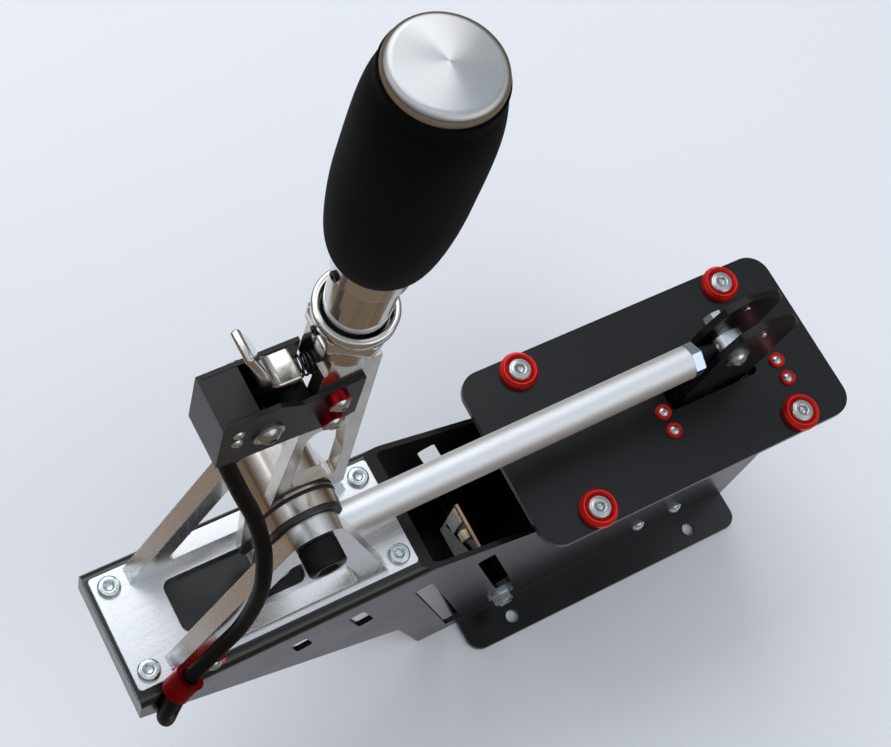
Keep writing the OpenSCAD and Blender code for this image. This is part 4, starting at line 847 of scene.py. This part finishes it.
class SHIFTER_OT_board_plugs(bpy.types.Operator):
    """Two plugs on the sensor board: small blocks with rounded edges"""
    bl_idname = "shifter.board_plugs"
    bl_label = "Board plugs"

    def execute(self, context):
        board_face = -122.05
        for name, material, front, y, z in (
                ("plug_tan", "tan_plastic", -126.0, (-24.0, -18.5), (150.0, 156.0)),
                ("plug_pale", "pale_plastic", -123.6, (-15.0, -6.2), (138.0, 156.5))):
            piece = block(name, (front, board_face), y, z, 0.6)
            settle(piece, "chassis", FINISHES[material], "circuit_board")
        return {"FINISHED"}


class SHIFTER_OT_screws(bpy.types.Operator):
    """Button screws of the tower base and the rear plate: shank, rounded rim, stepped crown and
    hexagon socket"""
    bl_idname = "shifter.screws"
    bl_label = "Screws"

    def execute(self, context):
        steps, shank, key = 72, 3.0, 2.3
        # name, CAD piece, finish, head radius, shank length, middle and half span along X, half span
        # along Y, height of the seat
        rows = (("base_screw", "base_screws", "zinc_screws", 5.75, 13.0, -239.0, 68.0, 22.5, 185.0),
                ("plate_screw", "plate_screws", "plain_steel", 6.75, 15.5, 9.0, 68.0, 43.25, 176.5))
        for name, node, material, head, long, mid, half, side, seat in rows:
            # stations: radius and height from the shank's end to the rim, the crown and the socket
            r = np.array([2.4, shank, shank, head - 0.2, head, head, head - 0.25, head - 0.8, head - 1.5,
                          head - 1.7, head - 2.0, key + 1.0, key + 0.6, 0, 0, 0])
            z = np.array([-long, 0.6 - long, 0.01, 0.01, 0.2, 1.2, 1.8, 2.4, 2.75,
                          2.62, 2.85, 2.9, 2.8, 2.55, 1.0, 0.8])
            extra = np.zeros((len(r), steps))
            extra[-3:] = np.array([1.0, 1.0, 0.3])[:, None]*key*hexagon(steps)
            rings = turned(r, z, steps, extra)
            for k, (way, over) in enumerate(((-1, -1), (-1, 1), (1, -1), (1, 1))):
                at = np.array([mid + way*half, over*side, seat])
                piece = skin(f"{name}_{k + 1}", rings + at, first=True, last=True)
                settle(piece, "chassis", FINISHES[material], "zinc_screws", *([node] if k == 0 else []))
        return {"FINISHED"}


class SHIFTER_OT_ear_domes(bpy.types.Operator):
    """Domed ends of the pins in the rocker ears: quarter ellipses turned about the pin"""
    bl_idname = "shifter.ear_domes"
    bl_label = "Ear pin domes"

    def execute(self, context):
        pin_x, pin_z, dome_r, dome_high = 43.0, 240.0, 1.75, 1.3
        t = np.linspace(0, 0.49*np.pi, 10)
        rings = turned(np.r_[dome_r - 0.05, dome_r*np.cos(t)], np.r_[-0.3, dome_high*np.sin(t)], 40)
        for name, face in (("ear_dome_near", -10.3), ("ear_dome_far", 5.8)):
            piece = skin(name, across(rings, (pin_x, face, pin_z)), first=True, last=True)
            settle(piece, "rocker", FINISHES["polished_steel"], "polished_steel")
        return {"FINISHED"}


# Stage

def lay_floors(scene):
    """The pale floor, and a warm brown floor beyond it that only the metal's reflections see."""
    half, below = 3.0, -0.0005
    plain = [(-half, -half, below), (half, -half, below), (half, half, below), (-half, half, below)]
    board = np.array([(-0.350, 0.650), (0.520, 0.269), (0.128, -0.279), (-0.560, 0.020)])
    far = board.mean(0) + 7*(board - board.mean(0))
    around = np.column_stack([np.vstack([board, far]), np.zeros(8)]).tolist()
    strips = [(k, k + 4, (k + 1) % 4 + 4, (k + 1) % 4) for k in range(4)]
    pale = finish("painted_board_pale", scene.shifter_colours.floor, 0.0, 0.7,
                  gloss=(Grain(300), 0.65, 0.75))[0]
    brown = finish("oiled_boards_brown", linear("#9a8369"), 0.0, 0.8,
                   shade=(Grain(90, (1, 0.1, 1), 3), 0.53))[0]
    for name, corners, faces, material, seen in (
            ("floor", plain, [(0, 1, 2, 3)], pale, True),
            ("floor_beyond", around, strips, brown, False)):
        mesh = bpy.data.meshes.new(name)
        mesh.from_pydata(corners, [], faces)
        mesh.materials.append(material)
        floor = bpy.data.objects.new(name, mesh)
        scene.collection.objects.link(floor)
        floor.visible_camera = floor.visible_diffuse = floor.visible_shadow = seen


def light_world(scene):
    """A dome from brown below to pale blue above, and a plain pale backdrop for the camera."""
    world = bpy.data.worlds.new("studio")
    scene.world = world
    world.use_nodes = True
    tree = world.node_tree
    tree.nodes.clear()
    way = add(tree, "ShaderNodeTexCoord").outputs["Generated"]
    height = add(tree, "ShaderNodeSeparateXYZ", {"Vector": way}).outputs["Z"]
    dome = add(tree, "ShaderNodeValToRGB", {"Fac": height})
    low, high = dome.color_ramp.elements
    low.position, low.color = 0.0, linear("#5a493a")
    high.position, high.color = 0.92, linear("#dce3ee")
    dome.color_ramp.elements.new(0.5).color = linear("#aaa9a9")
    camera_sees = add(tree, "ShaderNodeLightPath").outputs["Is Camera Ray"]
    seen = add(tree, "ShaderNodeMix", {0: camera_sees, 6: dome.outputs["Color"], 7: linear("#dfe4ec")},
               data_type="RGBA")
    light = add(tree, "ShaderNodeBackground", {"Color": seen.outputs[2], "Strength": 0.95})
    add(tree, "ShaderNodeOutputWorld", {"Surface": light.outputs["Background"]})


def hang_softboxes(scene):
    """Three softboxes, each turned from its place to its aim."""
    # name, place, aim, size across and along in metres, power in watts, colour
    for name, at, aim, wide, long, power, colour in (
            ("softbox_key", (-0.1, 1.35, 1.75), (-0.1, 0.0, 0.2), 1.7, 1.6, 18.0, "#ffffff"),
            ("softbox_fill", (0.55, -1.25, 1.35), (0.05, -0.25, 0.0), 1.6, 1.2, 6.0, "#ffffff"),
            ("softbox_left", (-1.6, 0.9, 1.3), (-0.2, 0.0, 0.25), 0.5, 1.2, 4.0, "#f6f8ff")):
        lamp = bpy.data.lights.new(name, "AREA")
        lamp.shape, lamp.size, lamp.size_y = "RECTANGLE", wide, long
        lamp.energy, lamp.color = power, linear(colour)[:3]
        box = bpy.data.objects.new(name, lamp)
        scene.collection.objects.link(box)
        back = np.array(at) - np.array(aim)
        back = back/np.linalg.norm(back)
        right = np.cross((0, 0, 1.0), back)
        right = right/np.linalg.norm(right)
        turn = np.column_stack([right, np.cross(back, right), back, at])
        box.matrix_world = Matrix(np.vstack([turn, [0, 0, 0, 1]]).tolist())


def set_camera(scene):
    """The camera at the photograph's place and angle."""
    camera = bpy.data.cameras.new("camera")
    camera.sensor_width, camera.lens, camera.clip_end = 36.0, 68.99, 50.0
    view = bpy.data.objects.new("camera", camera)
    eye = np.array((-0.4287, -0.1958, 0.9872))
    right = np.array((0.8574, -0.4733, 0.2023))
    up = np.array((0.3645, 0.8358, 0.4106))
    back = np.array((-0.3634, -0.2783, 0.8891))
    turn = np.column_stack([right, up, back, eye])
    view.matrix_world = Matrix(np.vstack([turn, [0, 0, 0, 1]]).tolist())
    scene.collection.objects.link(view)
    scene.camera = view


class SHIFTER_OT_stage(bpy.types.Operator):
    """Pale floor, soft studio light and the camera at the photograph's angle"""
    bl_idname = "shifter.stage"
    bl_label = "Stage"

    def execute(self, context):
        context.scene.view_settings.view_transform = "Standard"
        for make in (lay_floors, light_world, hang_softboxes, set_camera):
            make(context.scene)
        return {"FINISHED"}


# Add-on

OPERATORS = (SHIFTER_OT_stage, SHIFTER_OT_finishes, SHIFTER_OT_cable, SHIFTER_OT_grip, SHIFTER_OT_stem,
             SHIFTER_OT_cap, SHIFTER_OT_pivot_screw, SHIFTER_OT_trigger, SHIFTER_OT_stop,
             SHIFTER_OT_hub_ring, SHIFTER_OT_rod_threads, SHIFTER_OT_springs, SHIFTER_OT_collar,
             SHIFTER_OT_board_plugs, SHIFTER_OT_screws, SHIFTER_OT_ear_domes)


class SHIFTER_PT_panel(bpy.types.Panel):
    """Lists the sizes, the colours and the steps that build the looks"""
    bl_idname = "SHIFTER_PT_panel"
    bl_label = "Gear shifter"
    bl_space_type = "VIEW_3D"
    bl_region_type = "UI"
    bl_category = "Shifter"

    def draw(self, context):
        for group in (context.scene.shifter_sizes, context.scene.shifter_colours):
            for name in group.__annotations__:
                self.layout.prop(group, name)
        for step in OPERATORS:
            self.layout.operator(step.bl_idname)


CLASSES = (ShifterSizes, ShifterColours) + OPERATORS + (SHIFTER_PT_panel,)


def register():
    for cls in CLASSES:
        bpy.utils.register_class(cls)
    bpy.types.Scene.shifter_sizes = bpy.props.PointerProperty(type=ShifterSizes)
    bpy.types.Scene.shifter_colours = bpy.props.PointerProperty(type=ShifterColours)


def unregister():
    del bpy.types.Scene.shifter_sizes, bpy.types.Scene.shifter_colours
    for cls in reversed(CLASSES):
        bpy.utils.unregister_class(cls)


def main():
    register()
    bpy.ops.shifter.stage()
    bpy.ops.shifter.finishes()
    bpy.ops.shifter.cable()
    bpy.ops.shifter.grip()
    bpy.ops.shifter.stem()
    bpy.ops.shifter.cap()
    bpy.ops.shifter.pivot_screw()
    bpy.ops.shifter.trigger()
    bpy.ops.shifter.stop()
    bpy.ops.shifter.hub_ring()
    bpy.ops.shifter.rod_threads()
    bpy.ops.shifter.springs()
    bpy.ops.shifter.collar()
    bpy.ops.shifter.board_plugs()
    bpy.ops.shifter.screws()
    bpy.ops.shifter.ear_domes()


if __name__ == "__main__":
    main()
